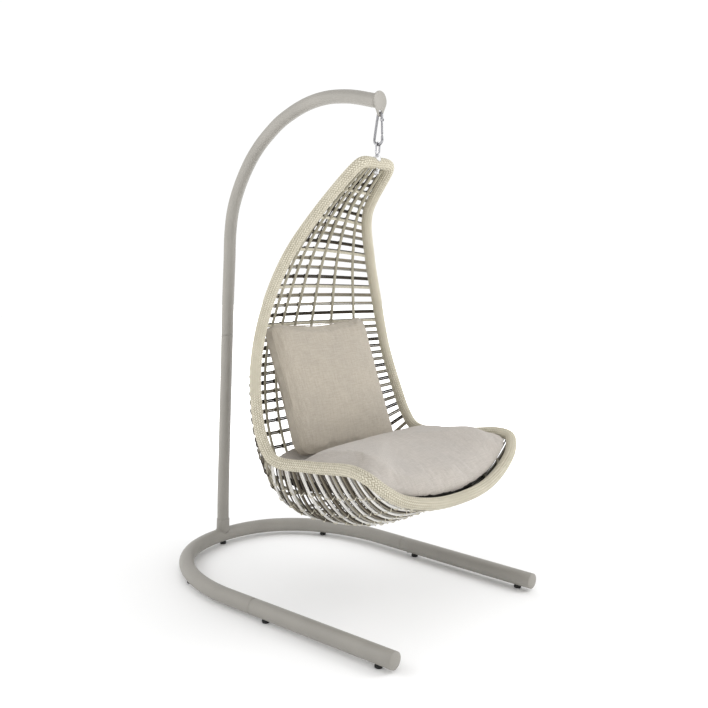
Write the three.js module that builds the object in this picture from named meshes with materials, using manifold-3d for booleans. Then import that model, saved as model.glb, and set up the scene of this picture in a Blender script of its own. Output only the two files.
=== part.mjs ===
// Hanging egg chair: a woven basket on a snap hook under a bent-tube stand.
// Millimetres, +Z up, the front of the chair towards -Y, the origin on the floor under the middle.
import * as THREE from 'three';
import { mergeVertices } from 'three/addons/utils/BufferGeometryUtils.js';
import Module from 'manifold-3d';

const wasm = await Module();
wasm.setup();

// ---- driving dimensions ----------------------------------------------------------------------
const PI = Math.PI;
const SIDES = [['left', -1], ['right', 1]];
const GAP = 0.3; // left between pieces that touch
const BORE_CLEAR = 0.5; // a bore's radius over its pin's
const TUBE_SIDES = 10; // of the stand's tubes
const BEND_STEPS = 24;

const BASE_R = 30; // base tube, outside radius
const BASE_Z = 42; // height of the base tube's centre line
const BASE_WALL = 2;
const BASE_FRONT_Y = -681;
const BASE_FRONT_X = 428;
const BASE_BEND_Y = 110; // where the straight legs turn into the rear bend
const BASE_BEND_X = 443;
const BASE_APEX_Y = 651;
const BASE_HANDLE_LEG = 183; // how far the bend keeps the direction of the leg
const BASE_HANDLE_APEX = 356; // how far it keeps the direction across the back
const LEG_JOINT_Y = -40; // legs plug onto the rear bend here
const LEG_BOLT_OFFSET = 25; // from the joint to the bolt, and to the bend's own hole behind it
const LEG_SLEEVE_R = 26.6;
const LEG_SLEEVE_HALF = 60;
const SLEEVE_WALL = 2;
const CAP_FACE = 4; // thickness of a leg's end cap
const GLIDE_R = 14;
const GLIDE_TOP = 17;
const GLIDE_FRONT_Y = -612;
const GLIDE_MIDDLE_Y = -100;
const GLIDE_REAR_AT = 0.42; // share of the way round the bend

const POST_R = 25.5; // post and arm tube, outside radius
const POST_WALL = 2;
const POST_FOOT_Z = 76;
const POST_JOINT_Z = 950; // the upper arm stands on the lower post here
const POST_LEAN = 0.066; // forward for each millimetre up, at the joint
const POST_BOLT_OFFSET = 45; // from the joint to the bolt above it and the one below
const POST_SLEEVE_R = 22.2;
const POST_SLEEVE_HALF = 90;
const SOCKET_R = 28.4;
const SOCKET_BORE_R = 26.4;
const SOCKET_TOP = 118;

const BOLT_R = 4;
const BOLT_HEAD_R = 7;
const BOLT_HEAD = 3.6;
const BOLT_REACH = 14;
const BOLT_ROOM = 5; // depth left free past a bolt's end

const PLATE_R = 35; // teardrop plate that closes the arm's end
const PLATE_Z = 1844;
const PLATE_Y = -257;
const PLATE_THICK = 5;
const LUG_R = 16;
const LUG_Z = 1804;
const LUG_HOLE_R = 8;

const HANG_Z = 1797; // the hook rests in the lug at this height
const HANG_TILT = THREE.MathUtils.degToRad(4.8); // the hook leans back under the basket's weight
const HOOK_R = 4.75; // wire of the snap hook
const HOOK_TOP = { z: -4, r: 9 };
const HOOK_LOW = { z: -89, r: 18 };
const GATE_R = 4;
const GATE_PIN_R = 1.5;
const GATE_PIN_Z = -20;
const GATE_TIP_Z = -72;
const TONGUE = { thick: 4, wide: 7, tall: 14 }; // the gate's flat end, in the hook's slot
const EYE_ROD_R = 3.5;
const EYE_HALF = 9.5; // half the distance between the eye's two sides
const EYE_TOP_Z = -98.55;
const EYE_FOOT_Z = -140;
const SHANK_R = 5;
const SHANK_END_Z = -214;
const COLLAR_R = 8;
const COLLAR_TALL = 4.5;
const BUSH_TOP_Z = -147;
const BUSH_R = 14;
const BUSH_HEAD = 18;
const BUSH_BODY_R = 7.5;
const WASHER_TOP_Z = -198.6;
const WASHER_THICK = 2;
const WASHER_R = 11;
const NUT_TALL = 8;
const NUT_R = 9.8; // across the corners

const RIM_R = 21; // rim tube with its wicker wrapping
const WEAVE_CLEAR = 24.8; // weave's edge to the middle of the rim
const ROW_FIRST = 67; // first row of the weave, measured along the rim from the top bar
const ROW_PITCH = 72;
const ROW_COUNT = 27;
const PANEL_GAP = 1; // along the rim, between the panels that the woven skin is cut into
const HOOP_COUNT = 5; // hoops on every second row of the back's top
const HOOP_R = 4.5;
const HOOP_DEPTH = 4; // below the weave's face
const RIB_R = 4;
const RIB_DEPTH = 13;
const SHELL_IN = 1;
const SHELL_OUT = 6;
const EDGE_ROOM = 0.04; // share of a section that a rib keeps from the weave's edge
// The exponent of the weave's cross-section: a parabola in the back, flatter in the bowl's middle.
const ROUND_BACK = { power: 1.95, until: 5.5 };
const ROUND_SEAT = { power: 2.95, from: 9.5 };

// ---- materials -------------------------------------------------------------------------------
const finish = (color, roughness, metalness) =>
  new THREE.MeshStandardMaterial({ color, roughness, metalness });
const PAINT = () => finish(0xb4aca2, 0.5, 0.1);
const STEEL = () => finish(0x9a9a98, 0.4, 0.9);
const CHROME = () => finish(0xd8d8da, 0.15, 1);
const RUBBER = () => finish(0x1b1b1b, 0.8, 0);
const CREAM = () => finish(0xcfc8b4, 0.7, 0);
const WEAVE = () => finish(0x8d8474, 0.7, 0);
const LINEN = () => finish(0xbdb4a5, 0.95, 0);
const LINEN_SEAT = () => finish(0xbbb4ac, 0.95, 0);

// ---- helpers ---------------------------------------------------------------------------------
const chair = new THREE.Group();

function add(group, name, geometry, material) {
  const mesh = new THREE.Mesh(geometry, material);
  mesh.name = name;
  group.add(mesh);
  return mesh;
}

function toSolid(geometry) {
  const bare = geometry.clone();
  bare.deleteAttribute('normal');
  bare.deleteAttribute('uv');
  const merged = mergeVertices(bare, 1e-3);
  return new wasm.Manifold(new wasm.Mesh({
    numProp: 3,
    vertProperties: new Float32Array(merged.attributes.position.array),
    triVerts: new Uint32Array(merged.index.array),
  }));
}

function toGeometry(solid) {
  const mesh = solid.getMesh();
  const geometry = new THREE.BufferGeometry();
  geometry.setAttribute('position', new THREE.BufferAttribute(mesh.vertProperties, 3));
  geometry.setIndex(new THREE.BufferAttribute(mesh.triVerts, 1));
  geometry.computeVertexNormals();
  return geometry;
}

const cut = (geometry, ...tools) =>
  toGeometry(tools.reduce((solid, tool) => solid.subtract(toSolid(tool)), toSolid(geometry)));
const join = (geometry, ...others) =>
  toGeometry(others.reduce((solid, other) => solid.add(toSolid(other)), toSolid(geometry)));

function ring(radius, sides) {
  return Array.from({ length: sides }, (_, i) => {
    const angle = (2 * PI * (i + 0.5)) / sides;
    return new THREE.Vector2(radius * Math.cos(angle), radius * Math.sin(angle));
  });
}

function section(radius, sides, bore = 0) {
  const shape = new THREE.Shape(ring(radius, sides));
  if (bore > 0) shape.holes.push(new THREE.Path(ring(bore, sides)));
  return shape;
}

const sweep = (shape, path, steps) =>
  new THREE.ExtrudeGeometry(shape, { extrudePath: path, steps, bevelEnabled: false });

const line = (from, to) => new THREE.LineCurve3(new THREE.Vector3(...from), new THREE.Vector3(...to));

function rod(radius, from, to, sides = 12) {
  return sweep(section(radius, sides), line(from, to), 1);
}

// A closed body from rings of points with a point at each end.
function loft(first, rings, last) {
  const count = rings[0].length;
  const points = [first, ...rings.flat(), last];
  const faces = [];
  const at = (row, i) => 1 + row * count + (i % count);
  for (let i = 0; i < count; i += 1) {
    faces.push(0, at(0, i + 1), at(0, i));
    for (let row = 0; row < rings.length - 1; row += 1) {
      faces.push(at(row, i), at(row, i + 1), at(row + 1, i));
      faces.push(at(row, i + 1), at(row + 1, i + 1), at(row + 1, i));
    }
    faces.push(at(rings.length - 1, i), at(rings.length - 1, i + 1), points.length - 1);
  }
  const geometry = new THREE.BufferGeometry().setFromPoints(points);
  geometry.setIndex(faces);
  geometry.computeVertexNormals();
  return geometry;
}

// A closed plate from a grid of pairs of points, one on each face.
function slab(inner, outer) {
  const rows = inner.length;
  const columns = inner[0].length;
  const points = [...inner.flat(), ...outer.flat()];
  const half = rows * columns;
  const faces = [];
  const quad = (a, b, c, d) => faces.push(a, b, c, a, c, d);
  const at = (row, column) => row * columns + column;
  for (let r = 0; r < rows - 1; r += 1) {
    for (let c = 0; c < columns - 1; c += 1) {
      quad(at(r, c), at(r + 1, c), at(r + 1, c + 1), at(r, c + 1));
      quad(half + at(r, c), half + at(r, c + 1), half + at(r + 1, c + 1), half + at(r + 1, c));
    }
  }
  const edge = (a, b) => quad(a, b, half + b, half + a);
  for (let c = 0; c < columns - 1; c += 1) {
    edge(at(0, c), at(0, c + 1));
    edge(at(rows - 1, c + 1), at(rows - 1, c));
  }
  for (let r = 0; r < rows - 1; r += 1) {
    edge(at(r + 1, 0), at(r, 0));
    edge(at(r, columns - 1), at(r + 1, columns - 1));
  }
  const geometry = new THREE.BufferGeometry().setFromPoints(points);
  geometry.setIndex(faces);
  geometry.computeVertexNormals();
  return geometry;
}

// ---- base ------------------------------------------------------------------------------------
const legX = (y) => THREE.MathUtils.mapLinear(y, BASE_FRONT_Y, BASE_BEND_Y, BASE_FRONT_X, BASE_BEND_X);
const legDirection = new THREE.Vector3(legX(1) - legX(0), 1, 0).normalize();

function bendHalf(side) {
  const turn = new THREE.Vector3(side * BASE_BEND_X, BASE_BEND_Y, BASE_Z);
  const along = new THREE.Vector3(side * legDirection.x, legDirection.y, 0);
  const apex = new THREE.Vector3(0, BASE_APEX_Y, BASE_Z);
  return new THREE.CubicBezierCurve3(
    turn,
    turn.clone().addScaledVector(along, BASE_HANDLE_LEG),
    new THREE.Vector3(side * BASE_HANDLE_APEX, BASE_APEX_Y, BASE_Z),
    apex,
  );
}

function bendPath() {
  const half = [0, 0.12, 0.25, 0.38, 0.52, 0.66, 0.82].map((t) => bendHalf(-1).getPoint(t));
  const start = new THREE.Vector3(-legX(LEG_JOINT_Y), LEG_JOINT_Y + GAP / 2, BASE_Z);
  const left = [start, ...half];
  const right = left.map((p) => new THREE.Vector3(-p.x, p.y, p.z)).reverse();
  return new THREE.CatmullRomCurve3([...left, new THREE.Vector3(0, BASE_APEX_Y, BASE_Z), ...right]);
}

function legBolt(side) {
  const y = LEG_JOINT_Y - LEG_BOLT_OFFSET;
  const x = side * legX(y);
  const low = BASE_Z - BASE_R;
  const head = rod(BOLT_HEAD_R, [x, y, low - GAP - BOLT_HEAD], [x, y, low - GAP]);
  const end = low + BOLT_REACH;
  return {
    bolt: join(head, rod(BOLT_R, [x, y, low - 1], [x, y, end], 10)),
    hole: rod(BOLT_R + BORE_CLEAR, [x, y, low - BOLT_ROOM], [x, y, end + BOLT_ROOM], 10),
  };
}

function makeLegs() {
  for (const [label, side] of SIDES) {
    const at = (y) => [side * legX(y), y, BASE_Z];
    const { bolt, hole } = legBolt(side);
    const face = BASE_FRONT_Y + CAP_FACE;
    const tube = sweep(
      section(BASE_R, TUBE_SIDES, BASE_R - BASE_WALL), line(at(face + GAP), at(LEG_JOINT_Y - GAP / 2)), 1);
    add(chair, `base_leg_${label}`, cut(tube, hole), PAINT());
    const sleeve = sweep(
      section(LEG_SLEEVE_R, TUBE_SIDES, LEG_SLEEVE_R - SLEEVE_WALL),
      line(at(LEG_JOINT_Y - LEG_SLEEVE_HALF), at(LEG_JOINT_Y + LEG_SLEEVE_HALF)), 1);
    add(chair, `leg_sleeve_${label}`, cut(sleeve, hole), STEEL());
    add(chair, `leg_bolt_${label}`, bolt, STEEL());
    const profile = [[0, 0], [BASE_R - 3, 0], [BASE_R, 2.4], [BASE_R, CAP_FACE],
      [LEG_SLEEVE_R, CAP_FACE], [LEG_SLEEVE_R, 22], [0, 22]];
    const cap = new THREE.LatheGeometry(profile.map(([r, h]) => new THREE.Vector2(r, h)), 16);
    const mesh = add(chair, `leg_end_cap_${label}`, cap, PAINT());
    mesh.position.set(...at(BASE_FRONT_Y));
    mesh.rotation.z = -side * Math.atan2(legDirection.x, legDirection.y);
  }
}

function makeGlide(name, x, y, angle) {
  const profile = [[0, 0], [GLIDE_R - 3, 0], [GLIDE_R, 3], [GLIDE_R, GLIDE_TOP], [0, GLIDE_TOP]];
  const foot = new THREE.LatheGeometry(profile.map(([r, h]) => new THREE.Vector2(r, h)), 14);
  foot.rotateX(PI / 2);
  const reach = new THREE.Vector3(Math.cos(angle), Math.sin(angle), 0).multiplyScalar(40);
  const tube = rod(BASE_R + 2 * GAP, [-reach.x, -reach.y, BASE_Z], [reach.x, reach.y, BASE_Z], 24);
  add(chair, name, cut(foot, tube), RUBBER()).position.set(x, y, 0);
}

function makeGlides() {
  for (const [label, side] of SIDES) {
    const legAngle = Math.atan2(legDirection.y, side * legDirection.x);
    makeGlide(`glide_front_${label}`, side * legX(GLIDE_FRONT_Y), GLIDE_FRONT_Y, legAngle);
    makeGlide(`glide_middle_${label}`, side * legX(GLIDE_MIDDLE_Y), GLIDE_MIDDLE_Y, legAngle);
    const curve = bendHalf(side);
    const place = curve.getPoint(GLIDE_REAR_AT);
    const along = curve.getTangent(GLIDE_REAR_AT);
    makeGlide(`glide_rear_${label}`, place.x, place.y, Math.atan2(along.y, along.x));
  }
  makeGlide('glide_rear_middle', 0, BASE_APEX_Y, 0);
}

const bend = sweep(section(BASE_R, TUBE_SIDES, BASE_R - BASE_WALL), bendPath(), BEND_STEPS);
const aroundBend = sweep(section(BASE_R + 4 * GAP, 20), bendPath(), BEND_STEPS);
const bendHoles = SIDES.map(([, side]) => {
  const y = LEG_JOINT_Y + LEG_BOLT_OFFSET;
  const x = side * legX(y);
  return rod(BOLT_R + BORE_CLEAR, [x, y, 0], [x, y, BASE_Z], 10);
});
add(chair, 'base_bend', cut(bend, ...bendHoles), PAINT());
makeLegs();
makeGlides();

// ---- post and arm ----------------------------------------------------------------------------
const POST_LINE = [[649, POST_FOOT_Z], [645, 203], [628, 480], [610, 751]];
const POST_JOINT = [597, POST_JOINT_Z];
const ARM_LINE = [[587, 1102], [573, 1274], [565, 1384], [544, 1485], [499, 1582], [434, 1675],
  [373, 1737], [313, 1782], [255, 1818], [198, 1843], [143, 1862], [89, 1875], [37, 1882],
  [-15, 1884], [-65, 1881], [-114, 1875], [-163, 1865], [-210, 1853],
  [PLATE_Y + PLATE_THICK / 2 + GAP + 2, PLATE_Z - 1]];

const inPlane = (pairs) =>
  new THREE.CatmullRomCurve3(pairs.map(([y, z]) => new THREE.Vector3(0, y, z)));

function postBolt(z) {
  const y = POST_JOINT[0] - (z - POST_JOINT_Z) * POST_LEAN;
  const skin = y + POST_R + 2 * GAP; // clear of the leaning tube's edges
  const head = rod(BOLT_HEAD_R, [0, skin + GAP, z], [0, skin + GAP + BOLT_HEAD, z]);
  const end = skin - BOLT_REACH;
  return {
    bolt: join(head, rod(BOLT_R, [0, end, z], [0, skin + 1, z], 10)),
    hole: rod(BOLT_R + BORE_CLEAR, [0, end - BOLT_ROOM, z], [0, skin + BOLT_ROOM, z], 10),
  };
}

function makePost() {
  const tube = section(POST_R, TUBE_SIDES, POST_R - POST_WALL);
  const [jointY, jointZ] = POST_JOINT;
  const low = postBolt(jointZ - POST_BOLT_OFFSET);
  const high = postBolt(jointZ + POST_BOLT_OFFSET);
  const lower = sweep(tube, inPlane([...POST_LINE, [jointY, jointZ - GAP / 2]]), 5);
  const end = (geometry) => cut(geometry, new THREE.BoxGeometry(200, 40, 200).translate(
    0, PLATE_Y + PLATE_THICK / 2 + GAP - 20, PLATE_Z));
  const upper = end(sweep(tube, inPlane([[jointY, jointZ + GAP / 2], ...ARM_LINE]), 24));
  const lean = POST_LEAN * POST_SLEEVE_HALF;
  const sleeve = sweep(section(POST_SLEEVE_R, TUBE_SIDES, POST_SLEEVE_R - SLEEVE_WALL), inPlane([
    [jointY + lean, jointZ - POST_SLEEVE_HALF], [jointY, jointZ], [jointY - lean, jointZ + POST_SLEEVE_HALF],
  ]), 2);
  add(chair, 'lower_post', cut(lower, low.hole), PAINT());
  add(chair, 'upper_arm', cut(upper, high.hole), PAINT());
  add(chair, 'post_sleeve', cut(sleeve, low.hole, high.hole), STEEL());
  add(chair, 'post_bolt_lower', low.bolt, STEEL());
  add(chair, 'post_bolt_upper', high.bolt, STEEL());
}

function makeSocket() {
  const body = sweep(section(SOCKET_R, 16, SOCKET_BORE_R), line(
    [0, 651, BASE_Z], [0, 647.4, SOCKET_TOP]), 1);
  const below = new THREE.BoxGeometry(100, 100, 60).translate(0, BASE_APEX_Y, BASE_Z - 30);
  add(chair, 'post_socket', cut(body, aroundBend, below), PAINT());
}

// Two circles joined by their common tangents.
function teardrop() {
  const lean = Math.asin((PLATE_R - LUG_R) / (PLATE_Z - LUG_Z));
  const shape = new THREE.Shape();
  shape.absarc(0, PLATE_Z, PLATE_R, -lean, PI + lean, false);
  shape.absarc(0, LUG_Z, LUG_R, PI + lean, 2 * PI - lean, false);
  shape.holes.push(new THREE.Path(ring(LUG_HOLE_R, 16).map((p) => p.add(new THREE.Vector2(0, LUG_Z)))));
  return shape;
}

function makePlate() {
  const plate = new THREE.ExtrudeGeometry(teardrop(), {
    depth: PLATE_THICK, bevelEnabled: false, curveSegments: 9,
  });
  plate.rotateX(PI / 2).translate(0, PLATE_Y + PLATE_THICK / 2, 0);
  add(chair, 'arm_end_plate', plate, PAINT());
}

makeSocket();
makePost();
makePlate();

// ---- hook, gate and eye, drawn from the place where the hook rests in the lug -------------------
const hanger = new THREE.Group();
hanger.position.set(0, PLATE_Y, HANG_Z);
hanger.rotation.x = HANG_TILT;
chair.add(hanger);

const HOOK_LEAN = Math.asin((HOOK_LOW.r - HOOK_TOP.r) / (HOOK_TOP.z - HOOK_LOW.z));
const arcPoint = ({ z, r }, angle) => new THREE.Vector3(0, r * Math.cos(angle), z + r * Math.sin(angle));
const frontTop = arcPoint(HOOK_TOP, PI - HOOK_LEAN);
const frontLow = arcPoint(HOOK_LOW, PI - HOOK_LEAN);
const onFront = (z) => frontTop.clone().lerp(frontLow, (frontTop.z - z) / (frontTop.z - frontLow.z));

function arc(circle, from, to, count) {
  return Array.from({ length: count + 1 }, (_, i) => arcPoint(circle, from + ((to - from) * i) / count));
}

function makeHook() {
  const path = new THREE.CatmullRomCurve3([
    onFront(GATE_TIP_Z - 0.4),
    ...arc(HOOK_LOW, PI - HOOK_LEAN, 2 * PI + HOOK_LEAN, 8),
    arcPoint(HOOK_LOW, HOOK_LEAN).lerp(arcPoint(HOOK_TOP, HOOK_LEAN), 0.5),
    ...arc(HOOK_TOP, HOOK_LEAN, PI - HOOK_LEAN, 6),
    onFront(GATE_PIN_Z - 4),
  ]);
  const pin = onFront(GATE_PIN_Z);
  const slot = new THREE.BoxGeometry(TONGUE.thick + 0.8, 2 * TONGUE.wide, 12)
    .translate(0, pin.y, GATE_PIN_Z - 0.5);
  const hole = rod(GATE_PIN_R + BORE_CLEAR, [-8, pin.y, pin.z], [8, pin.y, pin.z], 10);
  add(hanger, 'hook_body', cut(sweep(section(HOOK_R, 8), path, 34), slot, hole), CHROME());
  const shoulder = onFront(GATE_PIN_Z - 8);
  const tip = onFront(GATE_TIP_Z);
  const tongue = new THREE.BoxGeometry(TONGUE.thick, TONGUE.wide, TONGUE.tall)
    .translate(0, pin.y - 0.4, GATE_PIN_Z - 2.5);
  const bar = rod(GATE_R, shoulder.toArray(), tip.toArray(), 10);
  add(hanger, 'hook_gate', cut(join(bar, tongue), hole), CHROME());
  add(hanger, 'gate_pin', rod(GATE_PIN_R, [-4.4, pin.y, pin.z], [4.4, pin.y, pin.z], 10), STEEL());
}

function eyePath() {
  const half = [];
  for (let i = 0; i <= 6; i += 1) {
    const angle = (PI / 2) * (i / 6);
    half.push([EYE_HALF * Math.sin(angle), EYE_TOP_Z - EYE_HALF + EYE_HALF * Math.cos(angle)]);
  }
  half.push([EYE_HALF, (EYE_TOP_Z + EYE_FOOT_Z) / 2], [EYE_HALF, EYE_FOOT_Z + 8], [6.5, EYE_FOOT_Z + 2]);
  const mirrored = half.slice(1).reverse().map(([x, z]) => [-x, z]);
  const all = [...half, [0, EYE_FOOT_Z], ...mirrored];
  return new THREE.CatmullRomCurve3(all.map(([x, z]) => new THREE.Vector3(x, 0, z)), true);
}

function makeEye() {
  const loop = new THREE.TubeGeometry(eyePath(), 30, EYE_ROD_R, 7, true);
  const collar = rod(COLLAR_R, [0, 0, BUSH_TOP_Z + GAP], [0, 0, BUSH_TOP_Z + COLLAR_TALL], 14);
  const shank = rod(SHANK_R, [0, 0, SHANK_END_Z], [0, 0, EYE_FOOT_Z + 1], 12);
  add(hanger, 'eye_bolt', join(shank, collar, loop), CHROME());
  const washerEnd = WASHER_TOP_Z - WASHER_THICK;
  const washer = sweep(
    section(WASHER_R, 18, SHANK_R + BORE_CLEAR), line([0, 0, WASHER_TOP_Z], [0, 0, washerEnd]), 1);
  add(hanger, 'eye_washer', washer, STEEL());
  const nutTop = washerEnd - GAP;
  const nut = sweep(section(NUT_R, 6), line([0, 0, nutTop], [0, 0, nutTop - NUT_TALL]), 1);
  const thread = rod(SHANK_R + BORE_CLEAR, [0, 0, 0], [0, 0, 2 * SHANK_END_Z], 12);
  add(hanger, 'eye_nut', cut(nut, thread), STEEL());
}

makeHook();
makeEye();

// ---- basket ------------------------------------------------------------------------------------
// Sections from the top bar to the front lip: the rim's half width, y and z, then the keel's y and z.
// The keel is the middle line of the weave.
const SECTIONS = [
  [84, -231, 1618, -206, 1643],
  [138, -84, 1457, -22, 1487],
  [231, -16, 1291, 122, 1319],
  [310, 12, 1110, 225, 1110],
  [367, 12, 909, 294, 875],
  [401, -32, 722, 280, 603],
  [407, -65, 642, 206, 432],
  [404, -114, 586, 56, 296],
  [375, -263, 580, -259, 303],
  [389, -439, 602, -439, 371],
  [415, -509, 609, -508, 410],
  [423, -563, 600, -556, 438],
  [385, -594, 561, -581, 443],
  [309, -610, 515, -595, 443],
  [164, -632, 478, -620, 448],
  [0, -644, 470, -639, 456],
];
const LAST = SECTIONS.length - 1;
const rimPoints = SECTIONS.map(([x, y, z]) => new THREE.Vector3(x, y, z));
const rimMirror = rimPoints.slice(0, LAST).reverse().map((p) => new THREE.Vector3(-p.x, p.y, p.z));
const topBar = [-62, 0, 62].map((x) => new THREE.Vector3(x, -236, 1627));
const rimLoop = new THREE.CatmullRomCurve3([...rimPoints, ...rimMirror, ...topBar], true);
rimLoop.arcLengthDivisions = 1200;
const rimSamples = rimLoop.getPoints(480);
const keel = new THREE.CatmullRomCurve3(SECTIONS.map(([, , , y, z]) => new THREE.Vector3(0, y, z)));
const LOOP_COUNT = 2 * LAST + 4;

// Where a distance along the rim, from the corner of the top bar, falls among the sections.
const station = (distance) => rimLoop.getUtoTmapping(0, distance) * LOOP_COUNT;

function roundness(at) {
  const share = (at - ROUND_BACK.until) / (ROUND_SEAT.from - ROUND_BACK.until);
  return THREE.MathUtils.lerp(ROUND_BACK.power, ROUND_SEAT.power, THREE.MathUtils.clamp(share, 0, 1));
}

function weavePoint(at, across) {
  const rim = rimLoop.getPoint(at / LOOP_COUNT);
  const middle = keel.getPoint(at / LAST);
  const drop = 1 - Math.abs(across) ** roundness(at);
  return new THREE.Vector3(rim.x * across, rim.y, rim.z)
    .add(new THREE.Vector3(0, middle.y - rim.y, middle.z - rim.z).multiplyScalar(drop));
}

// Moves a point of the weave out along the face's normal, or in where the distance is negative.
function weaveOffset(at, across, distance) {
  const step = 0.02;
  const alongRim = weavePoint(at + step, across).sub(weavePoint(at - step, across));
  const sideways = weavePoint(at, across + step).sub(weavePoint(at, across - step));
  const normal = sideways.cross(alongRim).normalize();
  return weavePoint(at, across).addScaledVector(normal, distance);
}

// How far across a section the weave reaches before it comes too near the rim.
function edgeOf(at) {
  const clear = (across) => {
    const point = weavePoint(at, across);
    return rimSamples.every((sample) => sample.distanceTo(point) > WEAVE_CLEAR);
  };
  let across = 1;
  while (!clear(across)) across -= 0.004;
  return across;
}

const RIB_PLACES = [-0.8, -0.6, -0.4, -0.2, 0, 0.2, 0.4, 0.6, 0.8];
const OUTER_RIB = 0.8;
const RIB_LIP = { beyond: 0.5, at: 11 }; // the outer ribs stop short of the front lip
const RIB_FINE_FROM = 19; // towards the front lip the ribs have a point at every row
const ROWS = Array.from({ length: ROW_COUNT }, (_, i) => station(ROW_FIRST + i * ROW_PITCH));
const PANELS = { woven_top: [0, 8], woven_back: [8, 16], woven_bowl: [16, 22], woven_front: [22, ROW_COUNT - 1] };

// The places across a section where the weave has its points: on the ribs, and towards the edges.
function columns(at) {
  const edge = edgeOf(at);
  if (edge < OUTER_RIB + EDGE_ROOM) return Array.from({ length: 13 }, (_, i) => -edge + (2 * edge * i) / 12);
  const shoulder = (edge + OUTER_RIB) / 2;
  return [-edge, -shoulder, ...RIB_PLACES, shoulder, edge];
}

function makeBasket() {
  const bush = makeBush();
  const rim = new THREE.TubeGeometry(rimLoop, 84, RIM_R, 8, true);
  add(chair, 'basket_rim', cut(rim, bush.hole), CREAM());
  add(hanger, 'swivel_bush', bush.body, STEEL());
  Object.entries(PANELS).forEach(([name, [first, last]]) => {
    const rows = ROWS.slice(first, last + 1);
    if (last < ROW_COUNT - 1) rows[rows.length - 1] = station(ROW_FIRST + last * ROW_PITCH - PANEL_GAP);
    const face = (depth) => rows.map((at) => columns(at).map((t) => weaveOffset(at, t, depth)));
    add(chair, name, slab(face(SHELL_IN), face(SHELL_OUT)), WEAVE());
  });
  const hoopRows = Array.from({ length: HOOP_COUNT }, (_, i) => ROWS[2 * i + 1]);
  hoopRows.forEach((at, i) => {
    const points = columns(at).map((t) => weaveOffset(at, t, -HOOP_DEPTH));
    add(chair, `hoop_${i + 1}`, strut(points, HOOP_R, 5), CREAM());
  });
  const ribRows = ROWS.slice(1, -1).filter((_, i) => i % 2 === 0 || i > RIB_FINE_FROM);
  RIB_PLACES.forEach((t, i) => {
    const until = Math.abs(t) > RIB_LIP.beyond ? RIB_LIP.at : LAST;
    const rows = ribRows.filter((at) => at < until && edgeOf(at) > Math.abs(t) + EDGE_ROOM);
    const points = rows.map((at) => weaveOffset(at, t, -RIB_DEPTH));
    add(chair, `rib_${i + 1}`, strut(points, RIB_R, 4), CREAM());
  });
}

// A rod that bends only at its points.
function strut(points, radius, sides) {
  const rings = points.map((point, i) => {
    const before = points[Math.max(i - 1, 0)];
    const after = points[Math.min(i + 1, points.length - 1)];
    const along = after.clone().sub(before).normalize();
    const across = new THREE.Vector3(1, 0, 0);
    if (Math.abs(along.x) > 0.35) across.set(0, -0.6, 0.8);
    across.addScaledVector(along, -across.dot(along)).normalize();
    const third = along.clone().cross(across);
    return ring(radius, sides).map(({ x, y }) =>
      point.clone().addScaledVector(across, x).addScaledVector(third, y));
  });
  return loft(points[0], rings, points[points.length - 1]);
}

function makeBush() {
  const head = rod(BUSH_R, [0, 0, BUSH_TOP_Z - BUSH_HEAD], [0, 0, BUSH_TOP_Z], 20);
  const neck = rod(BUSH_BODY_R, [0, 0, WASHER_TOP_Z + GAP], [0, 0, BUSH_TOP_Z - 1], 16);
  const bore = rod(SHANK_R + BORE_CLEAR, [0, 0, 2 * SHANK_END_Z], [0, 0, 0], 16);
  const toHanger = new THREE.Matrix4().compose(
    hanger.position, new THREE.Quaternion().setFromEuler(hanger.rotation), new THREE.Vector3(1, 1, 1));
  const bar = new THREE.TubeGeometry(rimLoop, 84, RIM_R + 2 * GAP, 8, true)
    .applyMatrix4(toHanger.clone().invert());
  const hole = rod(BUSH_BODY_R + BORE_CLEAR, [0, 0, 2 * SHANK_END_Z], [0, 0, BUSH_TOP_Z], 16)
    .applyMatrix4(toHanger);
  return { body: cut(join(cut(head, bar), neck), bore), hole };
}

makeBasket();

// ---- cushions ----------------------------------------------------------------------------------
// Half of the seat cushion's outline from the back to the front: x, y and the height of its widest line.
const SEAT_EDGE = [[0, 60, 556], [200, 50, 558], [318, -8, 562], [366, -95, 566], [352, -180, 574],
  [346, -263, 582], [350, -350, 591], [361, -439, 599], [384, -500, 605], [391, -560, 601],
  [368, -581, 577], [300, -592, 530], [150, -612, 497], [0, -622, 493]];
const SEAT_MIDDLE = [0, -290, 586];
const SEAT_PUFF = { front: 38, back: 12, from: -260, to: -100 }; // swell of the top, less under the pillow
const SEAT_PRESS = { deep: 25, y: -70, reach: 80 }; // the dent that the pillow makes
const SEAT_TOP = [0.3, 0.55, 0.75, 0.88, 0.96]; // shares of the outline
const SEAT_SIDE = [[0.985, 20], [0.94, 45], [0.87, 72], [0.78, 95], [0.62, 112], [0.4, 118]]; // and depths below it
const SEAT_CLEAR = 28; // to the weave's face, for the ribs and hoops inside it

const bowl = [];
for (let at = 6; at <= LAST; at += 0.12) {
  for (let across = -0.96; across < 0.97; across += 0.03) bowl.push(weavePoint(at, across));
}

function seatTop(x, y, edge, scale) {
  const share = scale ** 1.6;
  const puff = THREE.MathUtils.lerp(
    SEAT_PUFF.front, SEAT_PUFF.back, THREE.MathUtils.smoothstep(y, SEAT_PUFF.from, SEAT_PUFF.to));
  const dent = SEAT_PRESS.deep * Math.exp(-(((y - SEAT_PRESS.y) / SEAT_PRESS.reach) ** 2));
  return edge * share + SEAT_MIDDLE[2] * (1 - share) + (puff - dent) * Math.sqrt(1 - scale ** 8);
}

// Lowers a point of the cushion's underside by a depth, or as far as the bowl lets it.
function lowered(x, y, edge, depth) {
  const point = new THREE.Vector3(x, y, edge);
  const clear = () => bowl.every((sample) => sample.distanceTo(point) > SEAT_CLEAR);
  while (point.z > edge - depth && clear()) point.z -= 1;
  return point.z;
}

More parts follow.
